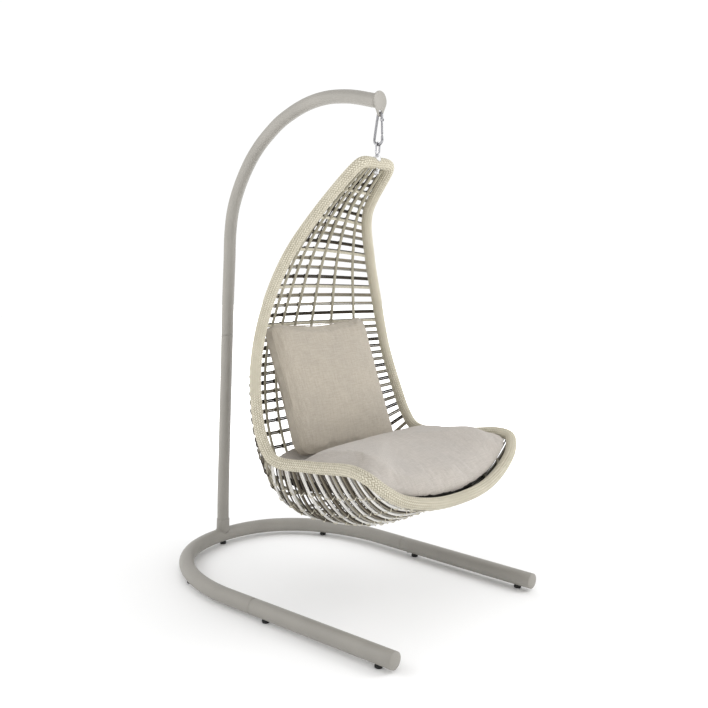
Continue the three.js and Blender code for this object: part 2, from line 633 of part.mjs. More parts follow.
function makeSeat(pillow) {
  const half = SEAT_EDGE.slice(1, -1);
  const outline = [...SEAT_EDGE, ...half.reverse().map(([x, y, z]) => [-x, y, z])];
  const [, middleY, middleZ] = SEAT_MIDDLE;
  const level = (scale, height) => outline.map(([x, y, z]) => {
    const point = new THREE.Vector3(x * scale, middleY + (y - middleY) * scale, z);
    return point.setZ(height(point, z));
  });
  const rings = [
    ...SEAT_TOP.map((scale) => level(scale, ({ x, y }, edge) => seatTop(x, y, edge, scale))),
    level(1, (_, edge) => edge),
    ...SEAT_SIDE.map(([scale, depth]) => level(scale, ({ x, y }, edge) => lowered(x, y, edge, depth))),
  ];
  const top = new THREE.Vector3(0, middleY, seatTop(0, middleY, middleZ, 0));
  const bottom = new THREE.Vector3(0, middleY, middleZ - SEAT_SIDE.at(-1)[1]);
  add(chair, 'seat_cushion', cut(loft(top, rings, bottom), pillow), LINEN_SEAT());
}

const PILLOW = { width: 545, height: 520, edge: 25, crown: 40, lean: 0.34, y: -8, z: 792 };

function pillowSolid(grow) {
  const count = 28;
  const level = (scale, side) => Array.from({ length: count }, (_, i) => {
    const angle = (-2 * PI * i) / count;
    const squared = (v) => Math.sign(v) * Math.abs(v) ** 0.3;
    const depth = side * (PILLOW.edge + PILLOW.crown * (1 - scale ** 3) + grow);
    return new THREE.Vector3(
      (PILLOW.width / 2 + grow) * scale * squared(Math.cos(angle)),
      depth,
      (PILLOW.height / 2 + grow) * scale * squared(Math.sin(angle)),
    );
  });
  const rings = [
    level(0.4, -1), level(0.75, -1), level(0.97, -1), level(1, -0.7),
    level(1, 0.7), level(0.97, 1), level(0.75, 1), level(0.4, 1),
  ];
  const middle = PILLOW.edge + PILLOW.crown + grow;
  const body = loft(new THREE.Vector3(0, -middle, 0), rings, new THREE.Vector3(0, middle, 0));
  return body.rotateX(-PILLOW.lean).translate(0, PILLOW.y, PILLOW.z);
}

add(chair, 'back_pillow', pillowSolid(0), LINEN());
makeSeat(pillowSolid(1));

export default chair;
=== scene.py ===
"""Looks for the hanging egg chair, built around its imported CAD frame.

Metres, +Z up, the chair's open front towards -Y, its middle on X = 0.
"""
import math

import bpy
import numpy as np
from mathutils import Matrix, Vector
from mathutils.bvhtree import BVHTree


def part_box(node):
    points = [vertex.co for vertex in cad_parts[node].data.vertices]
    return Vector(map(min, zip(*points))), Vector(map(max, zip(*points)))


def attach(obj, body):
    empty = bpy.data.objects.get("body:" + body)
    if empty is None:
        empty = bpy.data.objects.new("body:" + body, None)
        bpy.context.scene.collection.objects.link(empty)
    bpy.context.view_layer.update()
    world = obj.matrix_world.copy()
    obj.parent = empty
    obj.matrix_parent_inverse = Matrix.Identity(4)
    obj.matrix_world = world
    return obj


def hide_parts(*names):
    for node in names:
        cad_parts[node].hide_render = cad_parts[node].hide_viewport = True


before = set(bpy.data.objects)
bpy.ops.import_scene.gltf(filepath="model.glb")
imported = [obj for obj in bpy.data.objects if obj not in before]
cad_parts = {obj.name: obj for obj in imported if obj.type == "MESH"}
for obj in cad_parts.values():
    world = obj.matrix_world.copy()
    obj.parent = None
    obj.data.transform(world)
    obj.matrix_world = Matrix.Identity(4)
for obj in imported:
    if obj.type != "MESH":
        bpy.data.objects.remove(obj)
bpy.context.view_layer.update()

MM = 0.001
TAU = 2 * math.pi
SIDES = (("left", -1), ("right", 1))
PANELS = ("woven_top", "woven_back", "woven_bowl", "woven_front")
GAP = 0.3 * MM  # left between pieces that touch

# ---- stand ---------------------------------------------------------------------------------------
BASE_R = 30 * MM
BASE_Z = 42 * MM
BASE_FRONT = (428 * MM, -681 * MM)  # x and y of a leg's end
BASE_BEND = (443 * MM, 110 * MM)  # where the straight leg turns into the bend
BASE_APEX_Y = 651 * MM
BASE_HANDLE_LEG = 183 * MM
BASE_HANDLE_APEX = 356 * MM
LEG_JOINT_Y = -40 * MM
CAP_FACE = 4 * MM
POST_R = 25.5 * MM
POST_POINTS = [(649, 76), (645, 203), (628, 480), (610, 751), (597, 950)]
ARM_POINTS = [
    (597, 950), (587, 1102), (573, 1274), (565, 1384), (544, 1485), (499, 1582), (434, 1675),
    (373, 1737), (313, 1782), (255, 1818), (198, 1843), (143, 1862), (89, 1875), (37, 1882),
    (-15, 1884), (-65, 1881), (-114, 1875), (-163, 1865), (-210, 1853), (-252.2, 1843),
]
SOCKET_R = 28.4 * MM
SOCKET_TOP = 118 * MM
PLATE_R = 35 * MM
PLATE_Y = -257 * MM
PLATE_Z = 1844 * MM
PLATE_THICK = 5 * MM
LUG_R = 16 * MM
LUG_Z = 1804 * MM
LUG_HOLE_R = 8 * MM

# ---- hook and eye, drawn from where the hook rests in the lug ----------------------------------------
HANG = Matrix.Translation((0, PLATE_Y, 1797 * MM)) @ Matrix.Rotation(math.radians(4.8), 4, "X")
HOOK_R = 4.75
HOOK_TOP = (-4, 9)  # height and radius of the arc, in millimetres
HOOK_LOW = (-89, 18)
HOOK_LEAN = math.asin((HOOK_LOW[1] - HOOK_TOP[1]) / (HOOK_TOP[0] - HOOK_LOW[0]))
GATE_R = 4
GATE_PIN_Z = -20
GATE_TIP_Z = -72
EYE_ROD_R = 3.5
EYE_HALF = 9.5
EYE_TOP_Z = -98.55
EYE_FOOT_Z = -140
SHANK_R = 5
SHANK_END_Z = -214
BUSH_TOP_Z = -147
BUSH_R = 14
WASHER_TOP_Z = -198.6

# ---- basket --------------------------------------------------------------------------------------
RIM_R = 21 * MM
BRAID_DEPTH = 2.8 * MM
BRAID_AROUND = 14  # strips of each direction round the rim
BRAID_CELL = 9 * MM  # their pitch along it
HOOP_R = 6.0 * MM
HOOP_DEPTH = 2.4 * MM  # the hoop's centre, inside the weave's face
RIB_R = 5.8 * MM
RIB_DEPTH = 5.6 * MM
RIB_PLACES = (-0.8, -0.6, -0.4, -0.2, 0.0, 0.2, 0.4, 0.6, 0.8)
WRAP_PITCH = 6.5 * MM  # of the wicker wound round hoops and ribs
STRAND_R = 3.4 * MM
STRAND_OUT = 3.0 * MM  # the strand's centre, outside the weave's face
SHADE_STRAND_R = 2.8 * MM  # of the single dark strand between the bowl's rows: painted shade for the shadowed inside showing between them
SHADE_STRAND_OUT = 0.5 * MM
PAIR_SPACE = 7.4 * MM  # between the two strands of a row
FIRST_ROW = 67 * MM  # distances along the rim
WIDE_PITCH = 36 * MM  # of the rows down to the last hoop
WIDE_ROWS = 19
CLOSE_PITCH = 28 * MM  # and of the rows from there to the front lip
CLOSE_ROWS = 45
HOOP_ROWS = (2, 6, 10, 14, 18)
KNOT_LONG = 14 * MM
LASHING_SHADE_R = 2.6 * MM  # of the dark strand along each rib near the top, partly its dark lashing and partly painted shade beside it
LASHING_SHADE_LAST_ROW = 9
ZIGZAG_R = 2.0 * MM

# Sections from the top bar to the front lip, in millimetres: the rim's half width, y and z, then the
# keel's y and z. The keel is the middle line of the weave.
SECTIONS = [
    (84, -231, 1618, -206, 1643),
    (138, -84, 1457, -22, 1487),
    (231, -16, 1291, 122, 1319),
    (310, 12, 1110, 225, 1110),
    (367, 12, 909, 294, 875),
    (401, -32, 722, 280, 603),
    (407, -65, 642, 206, 432),
    (404, -114, 586, 56, 296),
    (375, -263, 580, -259, 303),
    (389, -439, 602, -439, 371),
    (415, -509, 609, -508, 410),
    (423, -563, 600, -556, 438),
    (385, -594, 561, -581, 443),
    (309, -610, 515, -595, 443),
    (164, -632, 478, -620, 448),
    (0, -644, 470, -639, 456),
]
LAST = len(SECTIONS) - 1
TOP_BAR = [(-62, -236, 1627), (0, -236, 1627), (62, -236, 1627)]
LOOP_COUNT = 2 * LAST + 4
ROUND_BACK, ROUND_BACK_UNTIL = 1.95, 5.5  # the weave's cross-section: a parabola in the back,
ROUND_SEAT, ROUND_SEAT_FROM = 2.95, 9.5  # and flatter in the bowl's middle


# ---- curves ----------------------------------------------------------------------------------------
class Spline:
    """A centripetal Catmull-Rom curve through points, run by a parameter from 0 to 1."""

    def __init__(self, points, closed=False):
        p = np.array(points, float)
        self.closed = closed
        self.count = len(p) if closed else len(p) - 1
        if closed:
            p = p[np.arange(-1, len(p) + 2) % len(p)]
        else:
            p = np.vstack([2 * p[0] - p[1], p, 2 * p[-1] - p[-2]])
        x0, x1, x2, x3 = p[:-3], p[1:-2], p[2:-1], p[3:]
        d0, d1, d2 = (np.sqrt(np.linalg.norm(b - a, axis=1, keepdims=True))
                      for a, b in ((x0, x1), (x1, x2), (x2, x3)))
        t1 = ((x1 - x0) / d0 - (x2 - x0) / (d0 + d1) + (x2 - x1) / d1) * d1
        t2 = ((x2 - x1) / d1 - (x3 - x1) / (d1 + d2) + (x3 - x2) / d2) * d1
        self.terms = (x1, t1, 3 * (x2 - x1) - 2 * t1 - t2, 2 * (x1 - x2) + t1 + t2)

    def __call__(self, t):
        s = np.asarray(t, float) * self.count
        if self.closed:
            s = s % self.count
        i = np.clip(np.floor(s).astype(int), 0, self.count - 1)
        w = (s - i)[..., None]
        a, b, c, d = (term[i] for term in self.terms)
        return a + w * (b + w * (c + w * d))

    def even(self, step):
        """Points about one step apart along the curve."""
        fine = self(np.linspace(0, 1, 60 * self.count + 1))
        along = np.concatenate([[0], np.cumsum(np.linalg.norm(np.diff(fine, axis=0), axis=1))])
        number = max(2, round(along[-1] / step)) + 1
        places = np.linspace(0, along[-1], number)
        return np.stack([np.interp(places, along, fine[:, k]) for k in range(3)], axis=1)


def unit(v):
    return v / np.maximum(np.linalg.norm(v, axis=-1, keepdims=True), 1e-12)


def mirrored(rows):
    """Sections of one side, then the other side's back to the start."""
    return [*rows, *((-x, y, z) for x, y, z in reversed(rows[:-1]))]


rim_points = np.array(mirrored([s[:3] for s in SECTIONS]) + TOP_BAR, float) * MM
rim_loop = Spline(rim_points, closed=True)
keel = Spline([(0, s[3] * MM, s[4] * MM) for s in SECTIONS])

rim_fine_at = np.linspace(0, LOOP_COUNT, 4801)
rim_fine = rim_loop(rim_fine_at / LOOP_COUNT)
rim_run = np.concatenate([[0], np.cumsum(np.linalg.norm(np.diff(rim_fine, axis=0), axis=1))])


def station(distance):
    """Where a distance along the rim, from the corner of the top bar, falls among the sections."""
    return np.interp(distance, rim_run, rim_fine_at)


def weave(at, across):
    """The point of the weave at a station, from -1 at the left rim to 1 at the right one."""
    at, across = np.broadcast_arrays(np.asarray(at, float), np.asarray(across, float))
    rim = rim_loop(at / LOOP_COUNT)
    middle = keel(at / LAST)
    share = np.clip((at - ROUND_BACK_UNTIL) / (ROUND_SEAT_FROM - ROUND_BACK_UNTIL), 0, 1)
    drop = 1 - np.abs(across) ** (ROUND_BACK + (ROUND_SEAT - ROUND_BACK) * share)
    return np.stack([
        rim[..., 0] * across,
        rim[..., 1] + (middle[..., 1] - rim[..., 1]) * drop,
        rim[..., 2] + (middle[..., 2] - rim[..., 2]) * drop,
    ], axis=-1)


def weave_frame(at, across):
    """The weave's unit directions there: outwards, along the rim and towards the right."""
    step = 0.02
    along = weave(at + step, across) - weave(at - step, across)
    sideways = weave(at, across + step) - weave(at, across - step)
    return unit(np.cross(sideways, along)), unit(along), unit(sideways)


def weave_out(at, across, distance):
    return weave(at, across) + weave_frame(at, across)[0] * np.asarray(distance)[..., None]


def edge_of(at, clear):
    """How far across a section the weave stays at least that clear of the rim's centre line."""
    across = np.arange(1, 0, -0.004)
    points = weave(at, across)
    near = rim_fine[::8]
    gaps = np.linalg.norm(points[:, None] - near[None], axis=2).min(axis=1)
    return float(across[np.argmax(gaps > clear)])


# ---- mesh building -----------------------------------------------------------------------------------
class Batch:
    """Vertices and faces of one piece, with a value along its material's colour ramp, which holds painted
    shade for hollows and a random lightness for strands, and a place along and around for its material.
    """

    def __init__(self):
        self.vertices, self.faces, self.tones, self.ways = [], [], [], []
        self.count = 0

    def add(self, vertices, faces, shade_and_tone=0.5, way=None):
        vertices = np.asarray(vertices, float).reshape(-1, 3)
        number = len(vertices)
        self.vertices.append(vertices)
        self.faces += [tuple(i + self.count for i in f) for f in faces]
        self.tones.append(np.broadcast_to(np.asarray(shade_and_tone, float), (number,)))
        self.ways.append(np.zeros((number, 3)) if way is None else np.asarray(way, float).reshape(-1, 3))
        self.count += number

    def make(self, name, material, body, node_names=(), slot=None, smooth=True):
        mesh = bpy.data.meshes.new(name)
        mesh.from_pydata(np.concatenate(self.vertices).tolist(), [], self.faces)
        mesh.attributes.new("shade_and_tone", "FLOAT", "POINT").data.foreach_set(
            "value", np.concatenate(self.tones).astype(np.float32))
        mesh.attributes.new("way", "FLOAT_VECTOR", "POINT").data.foreach_set(
            "vector", np.concatenate(self.ways).astype(np.float32).ravel())
        mesh.polygons.foreach_set("use_smooth", [smooth] * len(mesh.polygons))
        mesh.validate()
        piece = bpy.data.objects.new(name, mesh)
        bpy.context.scene.collection.objects.link(piece)
        piece.data.materials.append(material)
        return settle(piece, body, node_names)


def build(name, shapes, material, body, node_names=(), slot=None, smooth=True):
    """One piece from a list of (vertices, faces) or (vertices, faces, way) shapes."""
    batch = Batch()
    for vertices, faces, *way in shapes:
        batch.add(vertices, faces, way=way[0] if way else None)
    return batch.make(name, material, body, node_names, slot, smooth)


def settle(piece, body, node_names=()):
    """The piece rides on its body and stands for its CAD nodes."""
    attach(piece, body)
    if node_names:
        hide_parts(*node_names)
    return piece


def frames_along(path, closed, start=None):
    """Two unit directions across the path at each point, turning as little as they can."""
    if closed:
        tangents = unit(np.roll(path, -1, axis=0) - np.roll(path, 1, axis=0))
    else:
        tangents = unit(np.gradient(path, axis=0))
    first = np.array(start if start is not None else (0.31, 0.57, 0.76), float)
    if abs(first @ tangents[0]) > 0.95:
        first = np.array((0.9, -0.4, 0.1))
    normals = np.empty_like(path)
    current = unit(first - (first @ tangents[0]) * tangents[0])
    for i, tangent in enumerate(tangents):
        current = current - (current @ tangent) * tangent
        current = current / np.linalg.norm(current)
        normals[i] = current
    if closed:
        last = normals[-1] - (normals[-1] @ tangents[0]) * tangents[0]
        other = np.cross(tangents[0], normals[0])
        twist = math.atan2(last @ other, last @ normals[0])
        angles = -twist * np.arange(len(path)) / len(path)
        side = np.cross(tangents, normals)
        normals = normals * np.cos(angles)[:, None] + side * np.sin(angles)[:, None]
    return normals, np.cross(tangents, normals)


def tube(path, radius, sides=12, closed=False, start=None):
    """Vertices, faces and (along, around) of a tube; radius is a number, one for each point, or a
    whole grid of them. Open ends are closed with a cap."""
    path = np.asarray(path, float)
    count = len(path)
    normals, others = frames_along(path, closed, start)
    angles = TAU * np.arange(sides) / sides
    radii = np.broadcast_to(np.asarray(radius, float).reshape(-1, 1) if np.ndim(radius) < 2
                            else radius, (count, sides))
    ring = (normals[:, None] * np.cos(angles)[None, :, None]
            + others[:, None] * np.sin(angles)[None, :, None])
    vertices = path[:, None] + ring * radii[..., None]
    faces = []
    for i in range(count if closed else count - 1):
        a, b = i * sides, ((i + 1) % count) * sides
        for k in range(sides):
            n = (k + 1) % sides
            faces.append((a + k, a + n, b + n, b + k))
    if not closed:
        faces.append(tuple(reversed(range(sides))))
        faces.append(tuple(range((count - 1) * sides, count * sides)))
    run = np.concatenate([[0], np.cumsum(np.linalg.norm(np.diff(path, axis=0), axis=1))])
    mean = float(np.mean(radii))
    way = np.stack([
        np.repeat(run, sides), np.tile(angles * mean, count), np.zeros(count * sides)], axis=1)
    return vertices.reshape(-1, 3), faces, way


def rounded_ends(path, radius, bevel):
    """Path and radii of a tube whose ends are turned over by a small bevel."""
    path = np.asarray(path, float)
    radii = np.full(len(path), radius)
    for end, inner in ((0, 1), (-1, -2)):
        direction = unit(path[inner] - path[end])
        points = [path[end] + direction * bevel * (1 - math.cos(a)) for a in (0.0, 0.55, 1.1)]
        sizes = [radius - bevel * (1 - math.sin(a)) for a in (0.0, 0.55, 1.1)]
        if end == 0:
            path = np.vstack([points, path[1:]])
            radii = np.concatenate([sizes, radii[1:]])
        else:
            path = np.vstack([path[:-1], points[::-1]])
            radii = np.concatenate([radii[:-1], sizes[::-1]])
    return path, radii


def lathe(profile, sides=40):
    """A turned body about Z from (radius, height) pairs that start and end on the axis."""
    inner = [(r, z) for r, z in profile if r > 0]
    angles = TAU * np.arange(sides) / sides
    rings = [np.stack([r * np.cos(angles), r * np.sin(angles), np.full(sides, z)], axis=1)
             for r, z in inner]
    vertices = np.vstack([[(0, 0, profile[0][1])], *rings, [(0, 0, profile[-1][1])]])
    last = len(vertices) - 1
    faces = []
    for k in range(sides):
        n = (k + 1) % sides
        faces.append((0, 1 + n, 1 + k))
        for i in range(len(inner) - 1):
            a, b = 1 + i * sides, 1 + (i + 1) * sides
            faces.append((a + k, a + n, b + n, b + k))
        a = 1 + (len(inner) - 1) * sides
        faces.append((a + k, a + n, last))
    return vertices, faces


def moved(vertices, matrix):
    turn = np.array(matrix, float)
    return np.asarray(vertices) @ turn[:3, :3].T + turn[:3, 3]


def placed(shape, matrix):
    vertices, faces, *way = shape
    return moved(vertices, matrix), faces, *way


# ---- materials ---------------------------------------------------------------------------------------
class Shader:
    """A node material built step by step around one Principled shader."""

    def __init__(self, name, **sockets):
        self.material = bpy.data.materials.new(name)
        self.material.use_nodes = True
        self.tree = self.material.node_tree
        self.tree.nodes.clear()
        self.output = self.node("ShaderNodeOutputMaterial")
        self.shader = self.node("ShaderNodeBsdfPrincipled")
        self.link(self.shader, "BSDF", self.output, "Surface")
        for key, value in sockets.items():
            self.shader.inputs[key.replace("_", " ")].default_value = value

    def node(self, kind, **settings):
        node = self.tree.nodes.new(kind)
        for key, value in settings.items():
            if key.startswith("in_"):
                index = key[3:]
                node.inputs[int(index) if index.isdigit() else index].default_value = value
            else:
                setattr(node, key, value)
        return node

    def link(self, source, out, target, into):
        self.tree.links.new(source.outputs[out], target.inputs[into])

    def place(self, scale=(1, 1, 1), rotation=(0, 0, 0), attribute=None):
        """Coordinates in metres, or from a vertex attribute, stretched by scale."""
        if attribute:
            source, out = self.node("ShaderNodeAttribute", attribute_name=attribute), "Vector"
        else:
            source, out = self.node("ShaderNodeTexCoord"), "Object"
        mapping = self.node("ShaderNodeMapping")
        mapping.inputs["Scale"].default_value = scale
        mapping.inputs["Rotation"].default_value = rotation
        self.link(source, out, mapping, "Vector")
        return mapping

    def noise(self, place, scale, detail=3.0, roughness=0.55):
        node = self.node("ShaderNodeTexNoise")
        node.inputs["Scale"].default_value = scale
        node.inputs["Detail"].default_value = detail
        node.inputs["Roughness"].default_value = roughness
        self.link(place, "Vector", node, "Vector")
        return node

    def ramp(self, source, out, stops):
        node = self.node("ShaderNodeValToRGB")
        ramp = node.color_ramp
        while len(ramp.elements) < len(stops):
            ramp.elements.new(0.5)
        for element, (position, color) in zip(ramp.elements, stops):
            element.position = position
            element.color = (*color, 1)
        self.link(source, out, node, "Fac")
        return node

    def mix(self, kind, factor, first, second):
        """Mixes two (node, output) colours, or plain colours, by a number or a (node, output)."""
        node = self.node("ShaderNodeMix", data_type="RGBA", blend_type=kind)
        for socket, value in ((0, factor), (6, first), (7, second)):
            if isinstance(value, tuple) and isinstance(value[0], bpy.types.Node):
                self.tree.links.new(value[0].outputs[value[1]], node.inputs[socket])
            else:
                node.inputs[socket].default_value = value if socket == 0 else (*value, 1)
        return node

    def math(self, kind, first, second):
        node = self.node("ShaderNodeMath", operation=kind)
        for socket, value in ((0, first), (1, second)):
            if isinstance(value, tuple):
                self.tree.links.new(value[0].outputs[value[1]], node.inputs[socket])
            else:
                node.inputs[socket].default_value = value
        return node

    def color(self, node, out):
        self.link(node, out, self.shader, "Base Color")

    def roughness(self, source, out, low, high):
        node = self.node("ShaderNodeMapRange")
        node.inputs["To Min"].default_value = low
        node.inputs["To Max"].default_value = high
        self.link(source, out, node, "Value")
        self.link(node, "Result", self.shader, "Roughness")

    def bump(self, source, out, distance, strength=1.0):
        node = self.node("ShaderNodeBump")
        node.inputs["Strength"].default_value = strength
        node.inputs["Distance"].default_value = distance
        self.link(source, out, node, "Height")
        self.link(node, "Normal", self.shader, "Normal")


def paint_material():
    s = Shader("stand_paint", Metallic=0.0, Roughness=0.42, Specular_IOR_Level=0.45)
    broad = s.noise(s.place(), 9, 2)
    tint = s.ramp(broad, "Fac", [(0.3, (0.275, 0.262, 0.236)), (0.7, (0.302, 0.287, 0.259))])
    speck = s.noise(s.place(), 700, 1)
    fleck = s.ramp(speck, "Fac", [(0.35, (0.93, 0.93, 0.93)), (0.62, (1.03, 1.03, 1.03))])
    s.color(s.mix("MULTIPLY", 1.0, (tint, "Color"), (fleck, "Color")), 2)
    s.roughness(broad, "Fac", 0.36, 0.52)
    s.bump(s.noise(s.place(), 420, 2), "Fac", 0.00025, 0.35)
    return s.material


def steel_material(name, color, low, high, streak):
    s = Shader(name, Metallic=1.0)
    grain = s.noise(s.place(scale=streak), 90, 3)
    tint = s.ramp(grain, "Fac", [
        (0.3, tuple(0.86 * c for c in color)), (0.7, color)])
    s.color(tint, "Color")
    s.roughness(grain, "Fac", low, high)
    s.bump(grain, "Fac", 0.0001, 0.2)
    return s.material


def rubber_material():
    s = Shader("glide_rubber", Specular_IOR_Level=0.3)
    grain = s.noise(s.place(), 300, 3)
    s.color(s.ramp(grain, "Fac", [(0.3, (0.012, 0.012, 0.013)), (0.75, (0.03, 0.03, 0.03))]), "Color")
    s.roughness(grain, "Fac", 0.6, 0.85)
    s.bump(grain, "Fac", 0.0004, 0.5)
    return s.material


def wicker_material(name, deep, middle, light, rough=0.6, streaks=0.35):
    """Synthetic rattan: a colour ramp run by a per-point value, which paints shade into hollows and
    lighter colour onto crowns, and for strands picks a random lightness; with fine streaks.
    """
    s = Shader(name, Specular_IOR_Level=0.35)
    shade_and_tone = s.node("ShaderNodeAttribute", attribute_name="shade_and_tone")
    base = s.ramp(shade_and_tone, "Fac", [(0.0, deep), (0.45, middle), (1.0, light)])
    lines = s.noise(s.place(scale=(12, 900, 40), attribute="way"), 1.0, 2)
    shade = s.ramp(lines, "Fac", [(0.3, (1 - streaks,) * 3), (0.65, (1.06,) * 3)])
    s.color(s.mix("MULTIPLY", 1.0, (base, "Color"), (shade, "Color")), 2)
    s.roughness(lines, "Fac", rough - 0.12, rough + 0.15)
    s.bump(lines, "Fac", 0.0005, 0.6)
    return s.material


def linen_material(name, dark, light, lean):
    """Plain woven linen with slubs; lean turns the threads into the plane of the cushion's face."""
    s = Shader(name, Roughness=0.92, Sheen_Weight=0.25, Sheen_Roughness=0.5, Specular_IOR_Level=0.15)
    turn = (lean, 0, 0)
    weft = s.noise(s.place(scale=(26, 420, 420), rotation=turn), 1.0, 3, 0.6)
    warp = s.noise(s.place(scale=(420, 26, 26), rotation=turn), 1.0, 3, 0.6)
    threads = s.mix("MIX", 0.5, (weft, "Color"), (warp, "Color"))
    tint = s.ramp(threads, 2, [(0.36, dark), (0.62, light)])
    cloud = s.noise(s.place(), 7, 3)
    wash = s.ramp(cloud, "Fac", [(0.3, (0.95, 0.95, 0.955)), (0.7, (1.03, 1.025, 1.02))])
    s.color(s.mix("MULTIPLY", 1.0, (tint, "Color"), (wash, "Color")), 2)
    cross_a = s.node("ShaderNodeTexWave", bands_direction="X", in_Scale=95.0, in_Distortion=0.6)
    cross_b = s.node("ShaderNodeTexWave", bands_direction="Z", in_Scale=95.0, in_Distortion=0.6)
    thread_place = s.place(rotation=turn)
    s.link(thread_place, "Vector", cross_a, "Vector")
    s.link(thread_place, "Vector", cross_b, "Vector")
    cloth = s.math("ADD", (cross_a, "Fac"), (cross_b, "Fac"))
    relief = s.math("ADD", (cloth, 0), (threads, 2))
    fold = s.noise(s.place(), 11, 2, 0.4)
    deep = s.math("MULTIPLY", (fold, "Fac"), 9.0)
    s.bump(s.math("ADD", (relief, 0), (deep, 0)), 0, 0.0007, 0.6)
    return s.material


FADE_FROM, FADE_TO = 0.9, 2.8  # distances over which the floor fades into the background


# A near-black cloth for the seat's low underside: painted shade, standing in for the shadow under the
# cushion inside the basket.
def underside_shade_material():
    s = Shader("seat_underside_shade", Specular_IOR_Level=0.15)
    grain = s.noise(s.place(), 500, 2)
    s.color(s.ramp(grain, "Fac", [(0.3, (0.018, 0.017, 0.016)), (0.7, (0.05, 0.047, 0.043))]), "Color")
    s.roughness(grain, "Fac", 0.8, 0.95)
    s.bump(grain, "Fac", 0.0004, 0.5)
    return s.material


def floor_material():
    """White card that glows more and more away from the chair, so that no horizon shows."""
    s = Shader("studio_floor", Roughness=0.9)
    cloud = s.noise(s.place(), 1.2, 2)
    s.color(s.ramp(cloud, "Fac", [(0.3, (0.94, 0.94, 0.94)), (0.7, (0.96, 0.96, 0.96))]), "Color")
    away = s.node("ShaderNodeVectorMath", operation="LENGTH")
    s.link(s.place(), "Vector", away, 0)
    fade = s.node("ShaderNodeMapRange", interpolation_type="SMOOTHSTEP", in_1=FADE_FROM, in_2=FADE_TO)
    s.link(away, "Value", fade, "Value")
    s.shader.inputs["Emission Color"].default_value = (1, 1, 1, 1)
    s.link(fade, "Result", s.shader, "Emission Strength")
    return s.material


PAINT = paint_material()
CHROME = steel_material("chrome", (0.47, 0.47, 0.49), 0.10, 0.22, (1, 1, 1))
HOOK_STEEL = steel_material("hook_steel", (0.27, 0.27, 0.28), 0.12, 0.25, (1, 1, 1))
ZINC = steel_material("zinc_steel", (0.62, 0.62, 0.62), 0.28, 0.45, (4, 4, 0.4))
RUBBER = rubber_material()
# Wicker colours: painted shade for the hollows, the middle of the range, and lighter for the crowns;
# strands pick along them at random.
CREAM = wicker_material(
    "cream_wicker", (0.17, 0.145, 0.10), (0.47, 0.435, 0.34), (0.67, 0.635, 0.53), 0.55, 0.08)
# The ribs take a darker copy of the cream wicker: painted shade for ribs that lie deeper than the hoops.
SHADED_RIB_WICKER = wicker_material(
    "rib_wicker_shaded", (0.10, 0.085, 0.055), (0.31, 0.285, 0.215), (0.45, 0.42, 0.33), 0.6, 0.15)
STRANDS = {name: wicker_material(f"{name}_strand", *colors) for name, colors in {
    "dark": ((0.010, 0.008, 0.006), (0.028, 0.022, 0.016), (0.060, 0.048, 0.035)),
    "brown": ((0.020, 0.015, 0.009), (0.055, 0.043, 0.028), (0.110, 0.088, 0.060)),
    "olive": ((0.13, 0.115, 0.080), (0.27, 0.24, 0.18), (0.40, 0.365, 0.285)),
    "grey": ((0.26, 0.25, 0.225), (0.40, 0.385, 0.35), (0.54, 0.52, 0.48)),
    "pale": ((0.60, 0.58, 0.54), (0.76, 0.74, 0.70), (0.88, 0.87, 0.84)),
}.items()}
PILLOW_LEAN = 0.34
PILLOW_LINEN = linen_material("pillow_linen", (0.325, 0.290, 0.240), (0.455, 0.412, 0.345), -PILLOW_LEAN)
SEAT_LINEN = linen_material("seat_linen", (0.355, 0.326, 0.293), (0.495, 0.460, 0.422), math.pi / 2)
FLOOR = floor_material()
UNDERSIDE_SHADE = underside_shade_material()
FLOOR_HALF = 14.0


# ---- studio ------------------------------------------------------------------------------------------
def make_camera():
    data = bpy.data.cameras.new("camera")
    data.sensor_width = 36
    data.lens = 43.22
    data.clip_end = 60
    camera = bpy.data.objects.new("camera", data)
    camera.location = (-2.4110, -2.2342, 1.3106)
    camera.rotation_euler = (math.radians(83.12), 0, math.radians(-48.94))
    bpy.context.scene.collection.objects.link(camera)
    bpy.context.scene.camera = camera


def make_light(name, place, target, size, power):
    data = bpy.data.lights.new(name, "AREA")
    data.shape = "DISK"
    data.size = size
    data.energy = power
    light = bpy.data.objects.new(name, data)
    light.location = place
    light.rotation_euler = (Vector(target) - Vector(place)).to_track_quat("-Z", "Y").to_euler()
    bpy.context.scene.collection.objects.link(light)


def make_studio():
    scene = bpy.context.scene
    scene.view_settings.view_transform = "Standard"
    world = bpy.data.worlds.new("studio")
    scene.world = world
    world.use_nodes = True
    background = world.node_tree.nodes["Background"]
    background.inputs["Color"].default_value = (1.0, 1.0, 1.0, 1)
    background.inputs["Strength"].default_value = 1.03
    make_light("key", (2.2, -3.8, 3.2), (0, 0, 0.9), 2.4, 70)
    make_light("rim_light", (-3.0, 1.8, 2.8), (0, 0, 0.9), 2.0, 25)
    mesh = bpy.data.meshes.new("floor")
    corners = [(x * FLOOR_HALF, y * FLOOR_HALF, 0) for x, y in ((-1, -1), (1, -1), (1, 1), (-1, 1))]
    mesh.from_pydata(corners, [], [(0, 1, 2, 3)])
    ground = bpy.data.objects.new("floor", mesh)
    ground.data.materials.append(FLOOR)
    bpy.context.scene.collection.objects.link(ground)


make_camera()
make_studio()


# ---- stand -------------------------------------------------------------------------------------------
LEG_SLOPE = (BASE_BEND[0] - BASE_FRONT[0]) / (BASE_BEND[1] - BASE_FRONT[1])


def leg_x(y):
    return BASE_FRONT[0] + (y - BASE_FRONT[1]) * LEG_SLOPE


def bend_half(t):
    """The right half of the rear bend, a cubic from the leg to the apex."""
    along = unit(np.array((LEG_SLOPE, 1.0)))
    a = np.array(BASE_BEND)
    b = a + along * BASE_HANDLE_LEG
    c = np.array((BASE_HANDLE_APEX, BASE_APEX_Y))
    d = np.array((0.0, BASE_APEX_Y))
    x, y = (1 - t) ** 3 * a + 3 * t * (1 - t) ** 2 * b + 3 * t * t * (1 - t) * c + t ** 3 * d
    return x, y, BASE_Z


